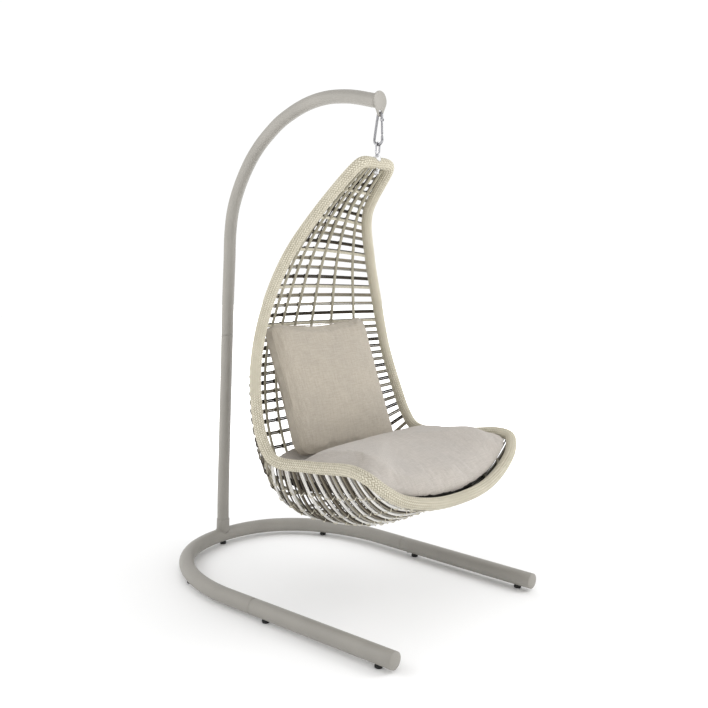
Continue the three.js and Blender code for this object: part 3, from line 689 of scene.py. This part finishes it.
def make_base():
    start = LEG_JOINT_Y + GAP / 2
    half = [(leg_x(start), start, BASE_Z)] + [bend_half(t) for t in np.linspace(0, 1, 22)]
    bend = np.array([(-x, y, z) for x, y, z in half[:-1]] + half[::-1])
    path, radii = rounded_ends(Spline(bend).even(14 * MM), BASE_R, 0.8 * MM)
    build("base_bend_tube", [tube(path, radii, 40, start=(0, 0, 1))],
          PAINT, "stand", ["base_bend"], "stand_paint")
    for label, side in SIDES:
        ends = (BASE_FRONT[1] + CAP_FACE + GAP, LEG_JOINT_Y - GAP / 2)
        line = np.array([(side * leg_x(y), y, BASE_Z) for y in np.linspace(*ends, 12)])
        path, radii = rounded_ends(line, BASE_R, 0.8 * MM)
        build(f"base_leg_tube_{label}", [tube(path, radii, 40, start=(0, 0, 1))],
              PAINT, "stand", [f"base_leg_{label}"], "stand_paint")
        make_end_cap(label, side)


def make_end_cap(label, side):
    """A domed plug in the leg's end."""
    dome = [(0, -2.2), (12, -1.8), (21, -0.6), (26.5, 1.0), (28.8, 2.2), (29.7, 3.2), (29.8, 4.0),
            (26.5, 4.1), (26.5, 20), (0, 20)]
    plug = lathe([(r * MM, (h + 2.2) * MM) for r, h in dome])
    heading = (Matrix.Rotation(-side * math.atan(LEG_SLOPE), 4, "Z")
               @ Matrix.Rotation(-math.pi / 2, 4, "X"))
    place = Matrix.Translation((side * BASE_FRONT[0], BASE_FRONT[1], BASE_Z)) @ heading
    build(f"leg_cap_{label}", [placed(plug, place)],
          PAINT, "stand", [f"leg_end_cap_{label}"], "stand_paint")


def make_glides():
    """Turned rubber feet with a rounded foot and a narrower neck."""
    profile = [(0, 0), (10.5, 0), (12.6, 0.5), (13.7, 1.7), (14, 3.4), (14, 8), (13.2, 9.2),
               (12.4, 10), (12.4, 15), (0, 15)]
    foot = lathe([(r * MM, h * MM) for r, h in profile], 32)
    for name in sorted(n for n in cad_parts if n.startswith("glide_")):
        low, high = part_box(name)
        place = Matrix.Translation(((low.x + high.x) / 2, (low.y + high.y) / 2, 0))
        build(f"foot_{name[6:]}", [placed(foot, place)], RUBBER, "stand", [name], "glide_rubber")


def make_post():
    line = Spline([(0, y * MM, z * MM) for y, z in POST_POINTS]).even(14 * MM)
    path, radii = rounded_ends(line, POST_R, 0.5 * MM)
    build("post_tube", [tube(path, radii, 40, start=(1, 0, 0))],
          PAINT, "stand", ["lower_post"], "stand_paint")
    line = Spline([(0, y * MM, z * MM) for y, z in ARM_POINTS]).even(14 * MM)
    build("arm_tube", [tube(line, POST_R, 40, start=(1, 0, 0))],
          PAINT, "stand", ["upper_arm"], "stand_paint")
    make_socket()
    make_plate()


def make_socket():
    """The short sleeve welded on the bend, with its bead round the foot."""
    low, high = np.array((0, BASE_APEX_Y, BASE_Z + 0.6 * BASE_R)), np.array((0, 0.6474, SOCKET_TOP))
    path, radii = rounded_ends(np.linspace(low, high, 5), SOCKET_R, 1.2 * MM)
    angles = np.linspace(0, TAU, 73)[:-1]
    reach = SOCKET_R * 1.01
    x, y = reach * np.cos(angles), reach * np.sin(angles)
    seat = BASE_Z + np.sqrt(np.maximum((BASE_R * 1.02) ** 2 - y ** 2, 0))
    bead = np.stack([x, BASE_APEX_Y + y, seat], axis=1)
    ripple = (2.4 + 0.35 * np.sin(angles * 26)) * MM
    build("socket_sleeve", [tube(path, radii, 48, start=(1, 0, 0)), tube(bead, ripple, 10, closed=True)],
          PAINT, "stand", ["post_socket"], "stand_paint")


def make_plate():
    """Two circles joined by their tangents, with a rounded edge and the lug's hole."""
    lean = math.asin((PLATE_R - LUG_R) / (PLATE_Z - LUG_Z))
    count = 48

    def circle(radius, height, angles):
        return np.stack([radius * np.cos(angles), height + radius * np.sin(angles)], axis=1)

    def outline(inset):
        return np.vstack([
            circle(PLATE_R - inset, PLATE_Z, np.linspace(-lean, math.pi + lean, count)),
            circle(LUG_R - inset, LUG_Z, np.linspace(math.pi + lean, TAU - lean, count // 2))])

    number = len(outline(0))
    around = np.linspace(0, TAU, number, endpoint=False) - lean
    bevel, small = 1.1 * MM, 0.8 * MM
    half = PLATE_THICK / 2
    hole, soft_hole = (circle(LUG_HOLE_R + extra, LUG_Z, around) for extra in (0, small))
    side = [(outline(bevel), half), (outline(0.3 * bevel), half - 0.3 * bevel), (outline(0), half - bevel)]
    rings = [(hole, small - half), (soft_hole, -half), *((r, -depth) for r, depth in side),
             *reversed(side), (soft_hole, half), (hole, half - small)]
    vertices = [np.stack([r[:, 0], np.full(number, PLATE_Y + depth), r[:, 1]], axis=1)
                for r, depth in rings]
    faces = []
    for i in range(len(rings)):
        a, b = i * number, ((i + 1) % len(rings)) * number
        for k in range(number):
            n = (k + 1) % number
            faces.append((a + k, a + n, b + n, b + k))
    plate = build("end_plate", [(np.concatenate(vertices), faces)],
                  PAINT, "stand", ["arm_end_plate"], "stand_paint")
    crisp_edges(plate, 40)
    angles = np.linspace(0, TAU, 81)[:-1]
    bead = np.stack([POST_R * 1.02 * np.cos(angles), np.full(80, PLATE_Y + half + 0.8 * MM),
                     PLATE_Z - 0.7 * MM + POST_R * 1.02 * np.sin(angles)], axis=1)
    weld = tube(bead, (2.3 + 0.3 * np.sin(angles * 24)) * MM, 10, closed=True)
    build("end_plate_weld", [weld], PAINT, "stand", slot="stand_paint")


def crisp_edges(piece, degrees):
    """Smooth shading, apart from edges sharper than an angle."""
    bpy.context.view_layer.objects.active = piece
    piece.select_set(True)
    bpy.ops.object.shade_smooth_by_angle(angle=math.radians(degrees))
    piece.select_set(False)


make_base()
make_glides()
make_post()


# ---- hook and eye ------------------------------------------------------------------------------------
def arc(circle, start, stop, count):
    z, r = circle
    return [(0, r * math.cos(a), z + r * math.sin(a)) for a in np.linspace(start, stop, count)]


def on_front(z):
    """A point of the hook's straight front side at that height."""
    top = np.array(arc(HOOK_TOP, math.pi - HOOK_LEAN, 0, 1)[0])
    low = np.array(arc(HOOK_LOW, math.pi - HOOK_LEAN, 0, 1)[0])
    return top + (low - top) * (top[2] - z) / (top[2] - low[2])


def hang_points(points):
    return moved(np.asarray(points, float) * MM, HANG)


def hang(shape, turn=None):
    """A shape in the hook's millimetres, turned there if need be, put where the hook hangs."""
    vertices, faces = shape
    return hang_points(vertices if turn is None else moved(vertices, turn)), faces


def make_hook():
    line = [tuple(on_front(GATE_TIP_Z - 1.2)),
            *arc(HOOK_LOW, math.pi - HOOK_LEAN, TAU + HOOK_LEAN, 16),
            *arc(HOOK_TOP, HOOK_LEAN, math.pi - HOOK_LEAN, 12), tuple(on_front(GATE_PIN_Z - 1))]
    path = Spline(hang_points(line)).even(2.2 * MM)
    radii = np.full(len(path), HOOK_R * MM)
    radii[:3] = np.array((2.8, 4.1, 4.6)) * MM
    shapes = [tube(path, radii, 20, start=(1, 0, 0))]
    pin = on_front(GATE_PIN_Z)
    for side in (-1, 1):
        cheek = lathe([(0, 0), (5.2, 0), (5.6, 0.5), (5.6, 1.9), (5.2, 2.3), (0, 2.3)], 28)
        turn = (Matrix.Translation((side * 3.4, pin[1], pin[2] + 0.5))
                @ Matrix.Rotation(side * math.pi / 2, 4, "Y"))
        shapes.append(hang(cheek, turn))
    build("snap_hook", shapes, HOOK_STEEL, "hook", ["hook_body"], "chrome")
    rivet = lathe([(0, -6), (2.2, -6), (2.6, -5.6), (2.6, 5.6), (2.2, 6), (0, 6)], 20)
    across = Matrix.Translation((0, pin[1], pin[2])) @ Matrix.Rotation(math.pi / 2, 4, "Y")
    build("gate_rivet", [hang(rivet, across)], ZINC, "hook", ["gate_pin"], "zinc_steel")
    path = hang_points(np.linspace(on_front(GATE_PIN_Z + 2.5), on_front(GATE_TIP_Z), 24))
    sizes = np.full(len(path), GATE_R * MM)
    sizes[:4] = np.array((2.0, 2.7, 2.9, 3.2)) * MM
    sizes[-3:] = np.array((4.0, 3.6, 2.6)) * MM
    build("snap_gate", [tube(path, sizes, 18, start=(1, 0, 0))],
          HOOK_STEEL, "gate", ["hook_gate"], "chrome")


def hanging_lathe(profile, sides):
    """A turned body from a profile that runs downwards, so its faces are flipped."""
    vertices, faces = lathe(profile, sides)
    return hang((vertices, [tuple(reversed(f)) for f in faces]))


def lowered_profile(profile, top):
    return [(r, z + top) for r, z in profile]


def make_eye():
    half = [(EYE_HALF * math.sin(a), 0, EYE_TOP_Z - EYE_HALF + EYE_HALF * math.cos(a))
            for a in np.linspace(0, math.pi / 2, 8)]
    half += [(EYE_HALF, 0, (EYE_TOP_Z + EYE_FOOT_Z) / 2), (EYE_HALF, 0, EYE_FOOT_Z + 8),
             (6.5, 0, EYE_FOOT_Z + 2)]
    line = [*half, (0, 0, EYE_FOOT_Z), *((-x, y, z) for x, y, z in reversed(half[1:]))]
    path = Spline(hang_points(line), closed=True).even(2.0 * MM)[:-1]
    shank = [(0, EYE_FOOT_Z + 1), (SHANK_R, EYE_FOOT_Z), (8, BUSH_TOP_Z + 4.8), (8, BUSH_TOP_Z + 0.4),
             (SHANK_R, BUSH_TOP_Z + 0.4), (SHANK_R, WASHER_TOP_Z - 10)]
    threads = [(SHANK_R - 0.6 * (k % 2), WASHER_TOP_Z - 10 - k * 0.55) for k in range(10)]
    build("eye", [tube(path, EYE_ROD_R * MM, 16, closed=True),
                  hanging_lathe([*shank, *threads, (0, SHANK_END_Z)], 24)],
          CHROME, "hanger", ["eye_bolt"], "chrome")
    boss = [(0, 0), (12.6, 0), (13.7, -0.5), (BUSH_R, -1.6), (BUSH_R, -17), (0, -17)]
    build("swivel_boss", [hanging_lathe(lowered_profile(boss, BUSH_TOP_Z), 40)],
          ZINC, "basket", ["swivel_bush"], "zinc_steel")
    disc = [(0, 0), (10.6, 0), (11, -0.4), (11, -1.6), (10.6, -2), (0, -2)]
    build("washer", [hanging_lathe(lowered_profile(disc, WASHER_TOP_Z), 36)],
          ZINC, "hanger", ["eye_washer"], "zinc_steel")
    nut = [(0, 0), (8.4, 0), (9.8, -0.7), (9.8, -7.3), (8.4, -8), (0, -8)]
    build("nut", [hanging_lathe(lowered_profile(nut, WASHER_TOP_Z - 2.3), 6)],
          ZINC, "hanger", ["eye_nut"], "zinc_steel", smooth=False)


make_hook()
make_eye()


# ---- basket ------------------------------------------------------------------------------------------
def braid_height(a, b):
    """Height from 0 to 1 and strip number of a 2-over-2 braid; a and b number its two directions."""
    i, j = np.floor(a), np.floor(b)
    first_on_top = np.mod(i - j, 4) < 2
    run = np.where(first_on_top, np.mod(i + 1 - b, 4), np.mod(a - j - 2, 4))
    across = np.where(first_on_top, a - i - 0.5, b - j - 0.5)
    crown = 1 - 0.75 * (2 * across) ** 2
    rise = np.abs(np.sin(np.pi * run / 2)) ** 0.5
    return crown * (0.25 + 0.75 * rise), np.where(first_on_top, i, j + 0.5)


def make_rim():
    """The rim in two halves, each a swept grid whose height follows the braid."""
    cells = 4 * round(rim_run[-1] / BRAID_CELL / 4)
    fine, sides = ((5, 70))
    count = fine * cells
    places = np.interp(np.linspace(0, rim_run[-1], count, endpoint=False), rim_run, rim_fine_at)
    path = rim_loop(places / LOOP_COUNT)
    along = np.arange(count)[:, None] / fine
    around = np.arange(sides)[None, :] * BRAID_AROUND / sides
    height, strip = braid_height(along + around, along - around)
    vertices, faces, way = tube(path, RIM_R - BRAID_DEPTH * (1 - height), sides, closed=True)
    vary = np.modf(np.abs(np.sin(strip * 12.9898) * 43758.5453))[0]
    # painted shade: the braid's hollows darker, its crowns lighter, with a random lightness for each strip
    shade_and_tone = np.clip(0.92 * height ** 1.4 + 0.16 * (vary - 0.5), 0, 1).ravel()
    half = len(faces) // 2
    for name, share in (("rim_braid_right", faces[:half]), ("rim_braid_left", faces[half:])):
        used = np.unique(np.array(share))
        index = np.zeros(len(vertices), int)
        index[used] = np.arange(len(used))
        batch = Batch()
        batch.add(vertices[used], [tuple(f) for f in index[np.array(share)]], shade_and_tone[used], way[used])
        batch.make(name, CREAM, "basket", ["basket_rim"], "cream_wicker")


def wrapped(path, radius):
    """A rod wound with a flat strip of wicker: the tube with a groove between the turns."""
    sides = 10
    run = np.concatenate([[0], np.cumsum(np.linalg.norm(np.diff(path, axis=0), axis=1))])
    phase = run[:, None] / WRAP_PITCH + np.arange(sides)[None, :] / sides
    crown = np.abs(np.sin(np.pi * phase)) ** 0.5
    vertices, faces, way = tube(path, radius * (0.86 + 0.14 * crown), sides)
    turn = np.floor(phase)
    vary = np.modf(np.abs(np.sin(turn * 78.233) * 43758.5453))[0]
    # painted shade: darker in the groove between turns, lighter on their crowns, with a random lightness
    # for each turn
    shade_and_tone = np.clip(0.12 + 0.66 * crown + 0.22 * vary, 0, 1)
    return vertices, faces, shade_and_tone.ravel(), way


row_runs = np.concatenate([
    FIRST_ROW + WIDE_PITCH * np.arange(WIDE_ROWS),
    FIRST_ROW + WIDE_PITCH * (WIDE_ROWS - 1) + CLOSE_PITCH * np.arange(1, CLOSE_ROWS + 1)])
row_at = station(row_runs)


def across_line(at, clear, step):
    """Places across a section from one rim to the other, about one step apart."""
    reach = edge_of(at, clear)
    places = np.linspace(-reach, reach, 400)
    points = weave(at, places)
    run = np.concatenate([[0], np.cumsum(np.linalg.norm(np.diff(points, axis=0), axis=1))])
    number = max(8, round(run[-1] / step))
    return np.interp(np.linspace(0, run[-1], number + 1), run, places)


def make_hoops():
    for i, row in enumerate(HOOP_ROWS):
        at = row_at[row]
        places = across_line(at, RIM_R * 0.72, 2.6 * MM)
        path = weave_out(at, places, -HOOP_DEPTH)
        vertices, faces, shade_and_tone, way = wrapped(path, HOOP_R)
        batch = Batch()
        batch.add(vertices, faces, shade_and_tone, way)
        batch.make(f"wrapped_hoop_{i + 1}", CREAM, "basket", [f"hoop_{i + 1}"], "cream_wicker")


def rib_stations(across):
    """Where a rib runs: from the top bar or the rim's side down to the front, clear of the rim."""
    fine = np.linspace(0.12, LAST - 0.1, 240)
    points = weave(fine, across)
    near = rim_fine[::8]
    gaps = np.linalg.norm(points[:, None] - near[None], axis=2).min(axis=1)
    inside = np.where(gaps > RIM_R * 0.8)[0]
    return fine[inside[0]], fine[inside[-1]]


def make_ribs():
    for i, across in enumerate(RIB_PLACES):
        start, stop = rib_stations(across)
        path = Spline(weave_out(np.linspace(start, stop, 90), across, -RIB_DEPTH)).even(2.4 * MM)
        vertices, faces, shade_and_tone, way = wrapped(path, RIB_R)
        batch = Batch()
        batch.add(vertices, faces, shade_and_tone, way)
        batch.make(f"wrapped_rib_{i + 1}", SHADED_RIB_WICKER, "basket", [f"rib_{i + 1}"], "cream_wicker")


# The colours of the two strands of a row, repeated down each part of the basket.
BACK_PAIRS = [("olive", "olive"), ("olive", "grey"), ("dark", "brown"), ("brown", "olive")]
SIDE_PAIRS = [("dark", "brown"), ("olive", "olive")]
BOWL_PAIRS = [("pale", "pale"), ("grey", "olive"), ("pale", "pale"), ("olive", "brown")]
LIP_PAIRS = [("dark", "dark"), ("brown", "dark")]
SIDE_FROM, BOWL_FROM, LIP_FROM = 4.2, 6.6, 11.7  # stations


def pair_of(row):
    at = row_at[row]
    pairs = BACK_PAIRS if at < SIDE_FROM else SIDE_PAIRS if at < BOWL_FROM else BOWL_PAIRS
    if at > LIP_FROM:
        pairs = LIP_PAIRS
    if row in HOOP_ROWS:
        return "dark", "dark"
    return pairs[(row + 1) % len(pairs)]


def make_strands():
    rng = np.random.default_rng(4)
    batches = {name: Batch() for name in STRANDS}
    for row in range(len(row_runs)):
        places = across_line(row_at[row], RIM_R * 0.7, 14 * MM)
        out, along, _ = weave_frame(row_at[row], places)
        for side, color in zip((-0.5, 0.5), pair_of(row)):
            waver = 0.2 * MM * np.sin(places * 9 + rng.uniform(0, TAU))
            path = weave_out(row_at[row], places, STRAND_OUT + waver) + along * side * PAIR_SPACE
            fine = Spline(path).even(9 * MM)
            vertices, faces, way = tube(fine, STRAND_R * rng.uniform(0.94, 1.06), 8)
            way[:, 2] = rng.uniform(0, 50)
            batches[color].add(vertices, faces, rng.uniform(0.2, 0.9), way)
    # Between the bowl's rows a thin dark strand: painted shade for the shadowed inside that shows through
    # the gaps.
    for run in row_runs[row_at > BOWL_FROM] + CLOSE_PITCH / 2:
        at = station(run)
        if at < LIP_FROM:
            path = weave_out(at, across_line(at, RIM_R * 0.7, 14 * MM), SHADE_STRAND_OUT)
            vertices, faces, way = tube(Spline(path).even(9 * MM), SHADE_STRAND_R, 7)
            batches["brown"].add(vertices, faces, rng.uniform(0.2, 0.9), way)
    for name, batch in batches.items():
        batch.make(f"strands_{name}", STRANDS[name], "basket", PANELS, "grey_wicker")


def crossings(across):
    """The rows that a rib crosses, with the weave's point and directions at each."""
    start, stop = rib_stations(across)
    for row, at in enumerate(row_at):
        if start + 0.04 < at < stop - 0.04:
            yield row, weave(at, across), *weave_frame(at, across)


def knot(centre, out, along, sideways):
    """A short barrel of turns wound round a row's two strands behind a rib."""
    sections, sides = 9, 12
    angles = TAU * np.arange(sides) / sides
    wide = PAIR_SPACE / 2 + STRAND_R + 3 * MM
    deep = STRAND_R + 1.8 * MM
    rings = []
    for share in np.linspace(-1, 1, sections):
        swell = (0.88 + 0.12 * abs(math.sin(1.5 * math.pi * (share + 1)))) * (1 - 0.35 * share ** 8)
        rings.append(centre + sideways * (share * KNOT_LONG / 2)
                     + np.outer(np.cos(angles) * wide * swell, along)
                     + np.outer(np.sin(angles) * deep * swell, out))
    faces = [(a + k, a + (k + 1) % sides, a + sides + (k + 1) % sides, a + sides + k)
             for a in range(0, (sections - 1) * sides, sides) for k in range(sides)]
    faces.append(tuple(reversed(range(sides))))
    faces.append(tuple(range((sections - 1) * sides, sections * sides)))
    return np.concatenate(rings), faces


def make_knots():
    """In the back, each row is wound where it passes behind a rib, dark and brown by turns, partly real
    lashing and partly painted shade beside the rib; a dark strand runs along each rib near the top.
    """
    batches = {"dark": Batch(), "brown": Batch()}
    for across in RIB_PLACES:
        for row, centre, out, along, sideways in crossings(across):
            if row_at[row] > BOWL_FROM:
                continue
            # dark and brown winds: partly real lashing, partly painted shade beside the rib
            color = "dark" if row % 2 else "brown"
            vertices, faces = knot(centre + out * (STRAND_OUT + 1.5 * MM), out, along, sideways)
            batches[color].add(vertices, faces, 0.15 + 0.5 * ((row * 7) % 5) / 4)
        # A dark strand along the rib near the top: partly the dark lashing, partly painted shade beside
        # the rib.
        start, _ = rib_stations(across)
        places = np.linspace(start, row_at[LASHING_SHADE_LAST_ROW], 40)
        line = weave_out(places, across, STRAND_OUT + STRAND_R + LASHING_SHADE_R)
        vertices, faces, way = tube(Spline(line).even(6 * MM), LASHING_SHADE_R, 8)
        batches["brown"].add(vertices, faces, 0.4, way)
    for color, batch in batches.items():
        batch.make(f"knots_and_shade_{color}", STRANDS[color], "basket", slot="grey_wicker")


def make_zigzags():
    """In the bowl, a cream cord crosses each row slantwise, one way and then the other."""
    batch = Batch()
    low, high = -RIB_DEPTH, STRAND_OUT + STRAND_R + 0.7 * ZIGZAG_R
    for across in RIB_PLACES:
        path = []
        for row, centre, out, along, sideways in crossings(across):
            if row_at[row] <= BOWL_FROM:
                continue
            lean = sideways * (7 * MM if row % 2 else -7 * MM)
            path += [centre + side * lean + out * depth + along * reach * MM for side, depth, reach
                     in ((-1, low, -10), (-0.5, high, -4), (0.5, high, 4), (1, low, 10))]
        if len(path) > 4:
            fine = Spline(path).even(3 * MM)
            vertices, faces, way = tube(fine, ZIGZAG_R, 7)
            batch.add(vertices, faces, 0.75, way)
    batch.make("zigzag_ties", CREAM, "basket", slot="cream_wicker")


make_rim()
make_hoops()
make_ribs()
make_strands()
make_knots()
make_zigzags()


# ---- cushions ----------------------------------------------------------------------------------------
SIM_FRAMES = 20
SIM_PRESSURE = 4.0


def apply_modifier(piece, modifier):
    bpy.context.view_layer.objects.active = piece
    bpy.ops.object.modifier_apply(modifier=modifier.name)


def mesh_points(piece):
    points = np.zeros(len(piece.data.vertices) * 3, np.float32)
    piece.data.vertices.foreach_get("co", points)
    return points.reshape(-1, 3).astype(float)


def inflate(piece, voxel, cap):
    """Remeshes the closed form and swells it as cloth under pressure; no point travels beyond cap."""
    remesh = piece.modifiers.new("remesh", "REMESH")
    remesh.mode = "VOXEL"
    remesh.voxel_size = voxel
    apply_modifier(piece, remesh)
    rest = mesh_points(piece)
    cloth = piece.modifiers.new("cloth", "CLOTH")
    settings = cloth.settings
    settings.quality = 6
    settings.mass = 0.2
    settings.tension_stiffness = 20
    settings.compression_stiffness = 8
    settings.shear_stiffness = 6
    settings.bending_stiffness = 1.2
    settings.use_pressure = True
    settings.uniform_pressure_force = SIM_PRESSURE
    settings.effector_weights.gravity = 0
    cloth.collision_settings.use_collision = False
    cloth.point_cache.frame_end = SIM_FRAMES
    for step in range(1, SIM_FRAMES + 1):
        bpy.context.scene.frame_set(step)
    evaluated = piece.evaluated_get(bpy.context.evaluated_depsgraph_get())
    swollen = np.array([v.co for v in evaluated.data.vertices], float)
    travel = swollen - rest
    length = np.linalg.norm(travel, axis=1, keepdims=True)
    rest = rest + travel * np.minimum(1, cap / np.maximum(length, 1e-9))
    piece.modifiers.remove(cloth)
    bpy.context.scene.frame_set(1)
    piece.data.vertices.foreach_set("co", rest.astype(np.float32).ravel())
    finer = piece.modifiers.new("finer", "SUBSURF")
    finer.levels = 1
    apply_modifier(piece, finer)
    piece.data.polygons.foreach_set("use_smooth", [True] * len(piece.data.polygons))
    piece.data.update()


def closed_form(name, first, rings, last, material):
    """A closed mesh from rings of points with a point at each end."""
    count = len(rings[0])
    vertices = np.vstack([[first], *rings, [last]])
    faces = []
    for k in range(count):
        n = (k + 1) % count
        faces.append((0, 1 + n, 1 + k))
        for i in range(len(rings) - 1):
            a, b = 1 + i * count, 1 + (i + 1) * count
            faces.append((a + k, a + n, b + n, b + k))
        a = 1 + (len(rings) - 1) * count
        faces.append((a + k, a + n, len(vertices) - 1))
    mesh = bpy.data.meshes.new(name)
    mesh.from_pydata(vertices.tolist(), [], faces)
    mesh.validate()
    piece = bpy.data.objects.new(name, mesh)
    bpy.context.scene.collection.objects.link(piece)
    piece.data.materials.append(material)
    return piece


def piping(name, piece, guide, radius, lift, material, body, slot):
    """A welt laid on the piece's surface along a closed guide line."""
    surface = BVHTree.FromPolygons(
        [v.co for v in piece.data.vertices], [tuple(p.vertices) for p in piece.data.polygons])
    laid = []
    for point in guide:
        place, normal, _, _ = surface.find_nearest(Vector(point))
        laid.append(place + normal * lift)
    path = np.array(laid)
    for _ in range(3):
        path = (np.roll(path, 1, axis=0) + 2 * path + np.roll(path, -1, axis=0)) / 4
    batch = Batch()
    vertices, faces, way = tube(path, radius, 8, closed=True)
    batch.add(vertices, faces, 0.5, way)
    return batch.make(name, material, body, slot=slot)


PILLOW_WIDE, PILLOW_TALL = 0.562, 0.558  # before the cloth pulls its edges in
PILLOW_EDGE = 22 * MM  # half the thickness of its boxed edge
PILLOW_CROWN = 20 * MM
PILLOW_SAG = 30 * MM  # how much lower its right bottom corner hangs than the left one
PILLOW_PLACE = Matrix.Translation((10 * MM, -12 * MM, 792 * MM)) @ Matrix.Rotation(-PILLOW_LEAN, 4, "X")


def pillow_ring(scale, depth, count=96, square=0.2):
    """A rounded square whose sides pull in between the corners, and whose foot slumps to the right."""
    angles = -TAU * np.arange(count) / count
    x = np.sign(np.cos(angles)) * np.abs(np.cos(angles)) ** square
    z = np.sign(np.sin(angles)) * np.abs(np.sin(angles)) ** square
    across = x * (1 - 0.03 * (1 - z ** 2)) * scale
    up = z * (1 - np.where(z > 0, 0.10, 0.03) * (1 - x ** 2)) * scale
    slump = -PILLOW_SAG * across * (1 - up) / 2
    return np.stack(
        [across * PILLOW_WIDE / 2, np.full(count, depth), up * PILLOW_TALL / 2 + slump], axis=1)


def make_pillow():
    scales = (0.15, 0.35, 0.55, 0.75, 0.9, 0.98)
    crown = [(s, PILLOW_EDGE + PILLOW_CROWN * (1 - s ** 2.2)) for s in scales]
    rings = [pillow_ring(s, -d) for s, d in crown]
    rings += [pillow_ring(1, d) for d in (-0.8 * PILLOW_EDGE, 0, 0.8 * PILLOW_EDGE)]
    rings += [pillow_ring(s, d) for s, d in reversed(crown)]
    middle = PILLOW_EDGE + PILLOW_CROWN
    rings = [moved(r, PILLOW_PLACE) for r in rings]
    ends = moved([(0, -middle, 0), (0, middle, 0)], PILLOW_PLACE)
    piece = closed_form("pillow", ends[0], rings, ends[1], PILLOW_LINEN)
    inflate(piece, 6 * MM, 14 * MM)
    settle(piece, "basket", ["back_pillow"])
    for label, side in (("front", -1), ("back", 1)):
        guide = moved(pillow_ring(1.02, side * (PILLOW_EDGE + 3 * MM), 240), PILLOW_PLACE)
        piping(f"pillow_welt_{label}", piece, guide, 1.9 * MM, 0.6 * MM,
               PILLOW_LINEN, "basket", "pillow_linen")


# Half of the seat cushion's outline from the back to the front, in millimetres: x, y and the
# height of its widest line.
SEAT_EDGE = [
    (0, 60, 556), (200, 50, 558), (318, -8, 562), (366, -95, 566), (352, -180, 574), (346, -263, 582),
    (350, -350, 591), (361, -439, 599), (384, -500, 605), (391, -560, 601), (368, -581, 577),
    (300, -592, 530), (150, -612, 497), (0, -622, 493),
]
SEAT_MIDDLE = (-290 * MM, 586 * MM)  # y and z
SEAT_SPREAD = 6 * MM  # added all round, because the swelling cloth pulls the edge in
SEAT_TOP = (0.15, 0.3, 0.45, 0.6, 0.75, 0.87, 0.94, 0.98)  # shares of the outline
SEAT_SIDE = ((0.985, 20), (0.94, 45), (0.87, 72), (0.78, 95), (0.62, 112), (0.4, 118), (0.2, 118))
SEAT_CLEAR = 20 * MM
UNDERSIDE_Z = 0.505  # below this the down-facing cloth gets a near-black material: painted shade for the cushion's shadowed underside


def seat_top(y, edge, scale):
    """Height of the cushion's top: it swells less, and is dented, under the pillow."""
    share = scale ** 1.6
    back = np.clip((y / MM + 260) / 160, 0, 1)
    puff = (34 - 26 * back * back * (3 - 2 * back)) * MM
    dent = 52 * MM * np.exp(-((y / MM + 95) / 95) ** 2)
    return edge * share + SEAT_MIDDLE[1] * (1 - share) + (puff - dent) * math.sqrt(1 - scale ** 8)


def make_seat():
    half = np.array(SEAT_EDGE, float) * MM
    other = half[1:-1][::-1] * (-1, 1, 1)
    outline = Spline(np.vstack([half, other]), closed=True)(np.linspace(0, 1, 120, endpoint=False))
    centre = np.array((0, SEAT_MIDDLE[0], 0))
    flat = (outline - centre) * (1, 1, 0)
    outline = outline + unit(flat) * SEAT_SPREAD
    at, across = np.meshgrid(np.arange(6, LAST, 0.15), np.arange(-0.96, 0.97, 0.04), indexing="ij")
    bowl = weave(at, across).reshape(-1, 3)

    def level(scale, height):
        x, y, z = outline.T
        y = SEAT_MIDDLE[0] + (y - SEAT_MIDDLE[0]) * scale
        return np.stack([x * scale, y, height(x * scale, y, z)], axis=1)

    def lowered(x, y, edge, depth):
        """The edge's height less a depth, or as far down as the bowl allows."""
        heights = edge[:, None] - np.linspace(0, depth, 25)[None]
        x, y = (np.repeat(v[:, None], 25, 1) for v in (x, y))
        points = np.stack([x, y, heights], axis=2)
        clear = np.array([[np.min(np.linalg.norm(bowl - p, axis=1)) > SEAT_CLEAR for p in line]
                          for line in points])
        steps = np.argmin(np.hstack([clear, np.zeros((len(x), 1), bool)]), axis=1)
        return heights[np.arange(len(x)), np.clip(steps - 1, 0, 24)]

    rings = [level(s, lambda x, y, z, s=s: seat_top(y, z, s)) for s in SEAT_TOP]
    rings.append(level(1, lambda x, y, z: z))
    rings += [level(s, lambda x, y, z, d=d: lowered(x, y, z, d * MM)) for s, d in SEAT_SIDE]
    low = SEAT_MIDDLE[1] - SEAT_SIDE[-1][1] * MM
    top = float(seat_top(np.array(SEAT_MIDDLE[0]), SEAT_MIDDLE[1], 0))
    ends = ((0, SEAT_MIDDLE[0], top), (0, SEAT_MIDDLE[0], low))
    piece = closed_form("seat_pad", ends[0], rings, ends[1], SEAT_LINEN)
    inflate(piece, 7 * MM, 14 * MM)
    # The low down-facing faces take the near-black material: painted shade under the cushion.
    piece.data.materials.append(UNDERSIDE_SHADE)
    for face in piece.data.polygons:
        if face.normal.z < -0.25 and face.center.z < UNDERSIDE_Z:
            face.material_index = 1
    settle(piece, "basket", ["seat_cushion"])


make_pillow()
make_seat()


# ---- carried CAD nodes -------------------------------------------------------------------------------
for node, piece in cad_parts.items():
    if piece.hide_render:
        continue
    piece.data.materials.clear()
    piece.data.materials.append(ZINC)
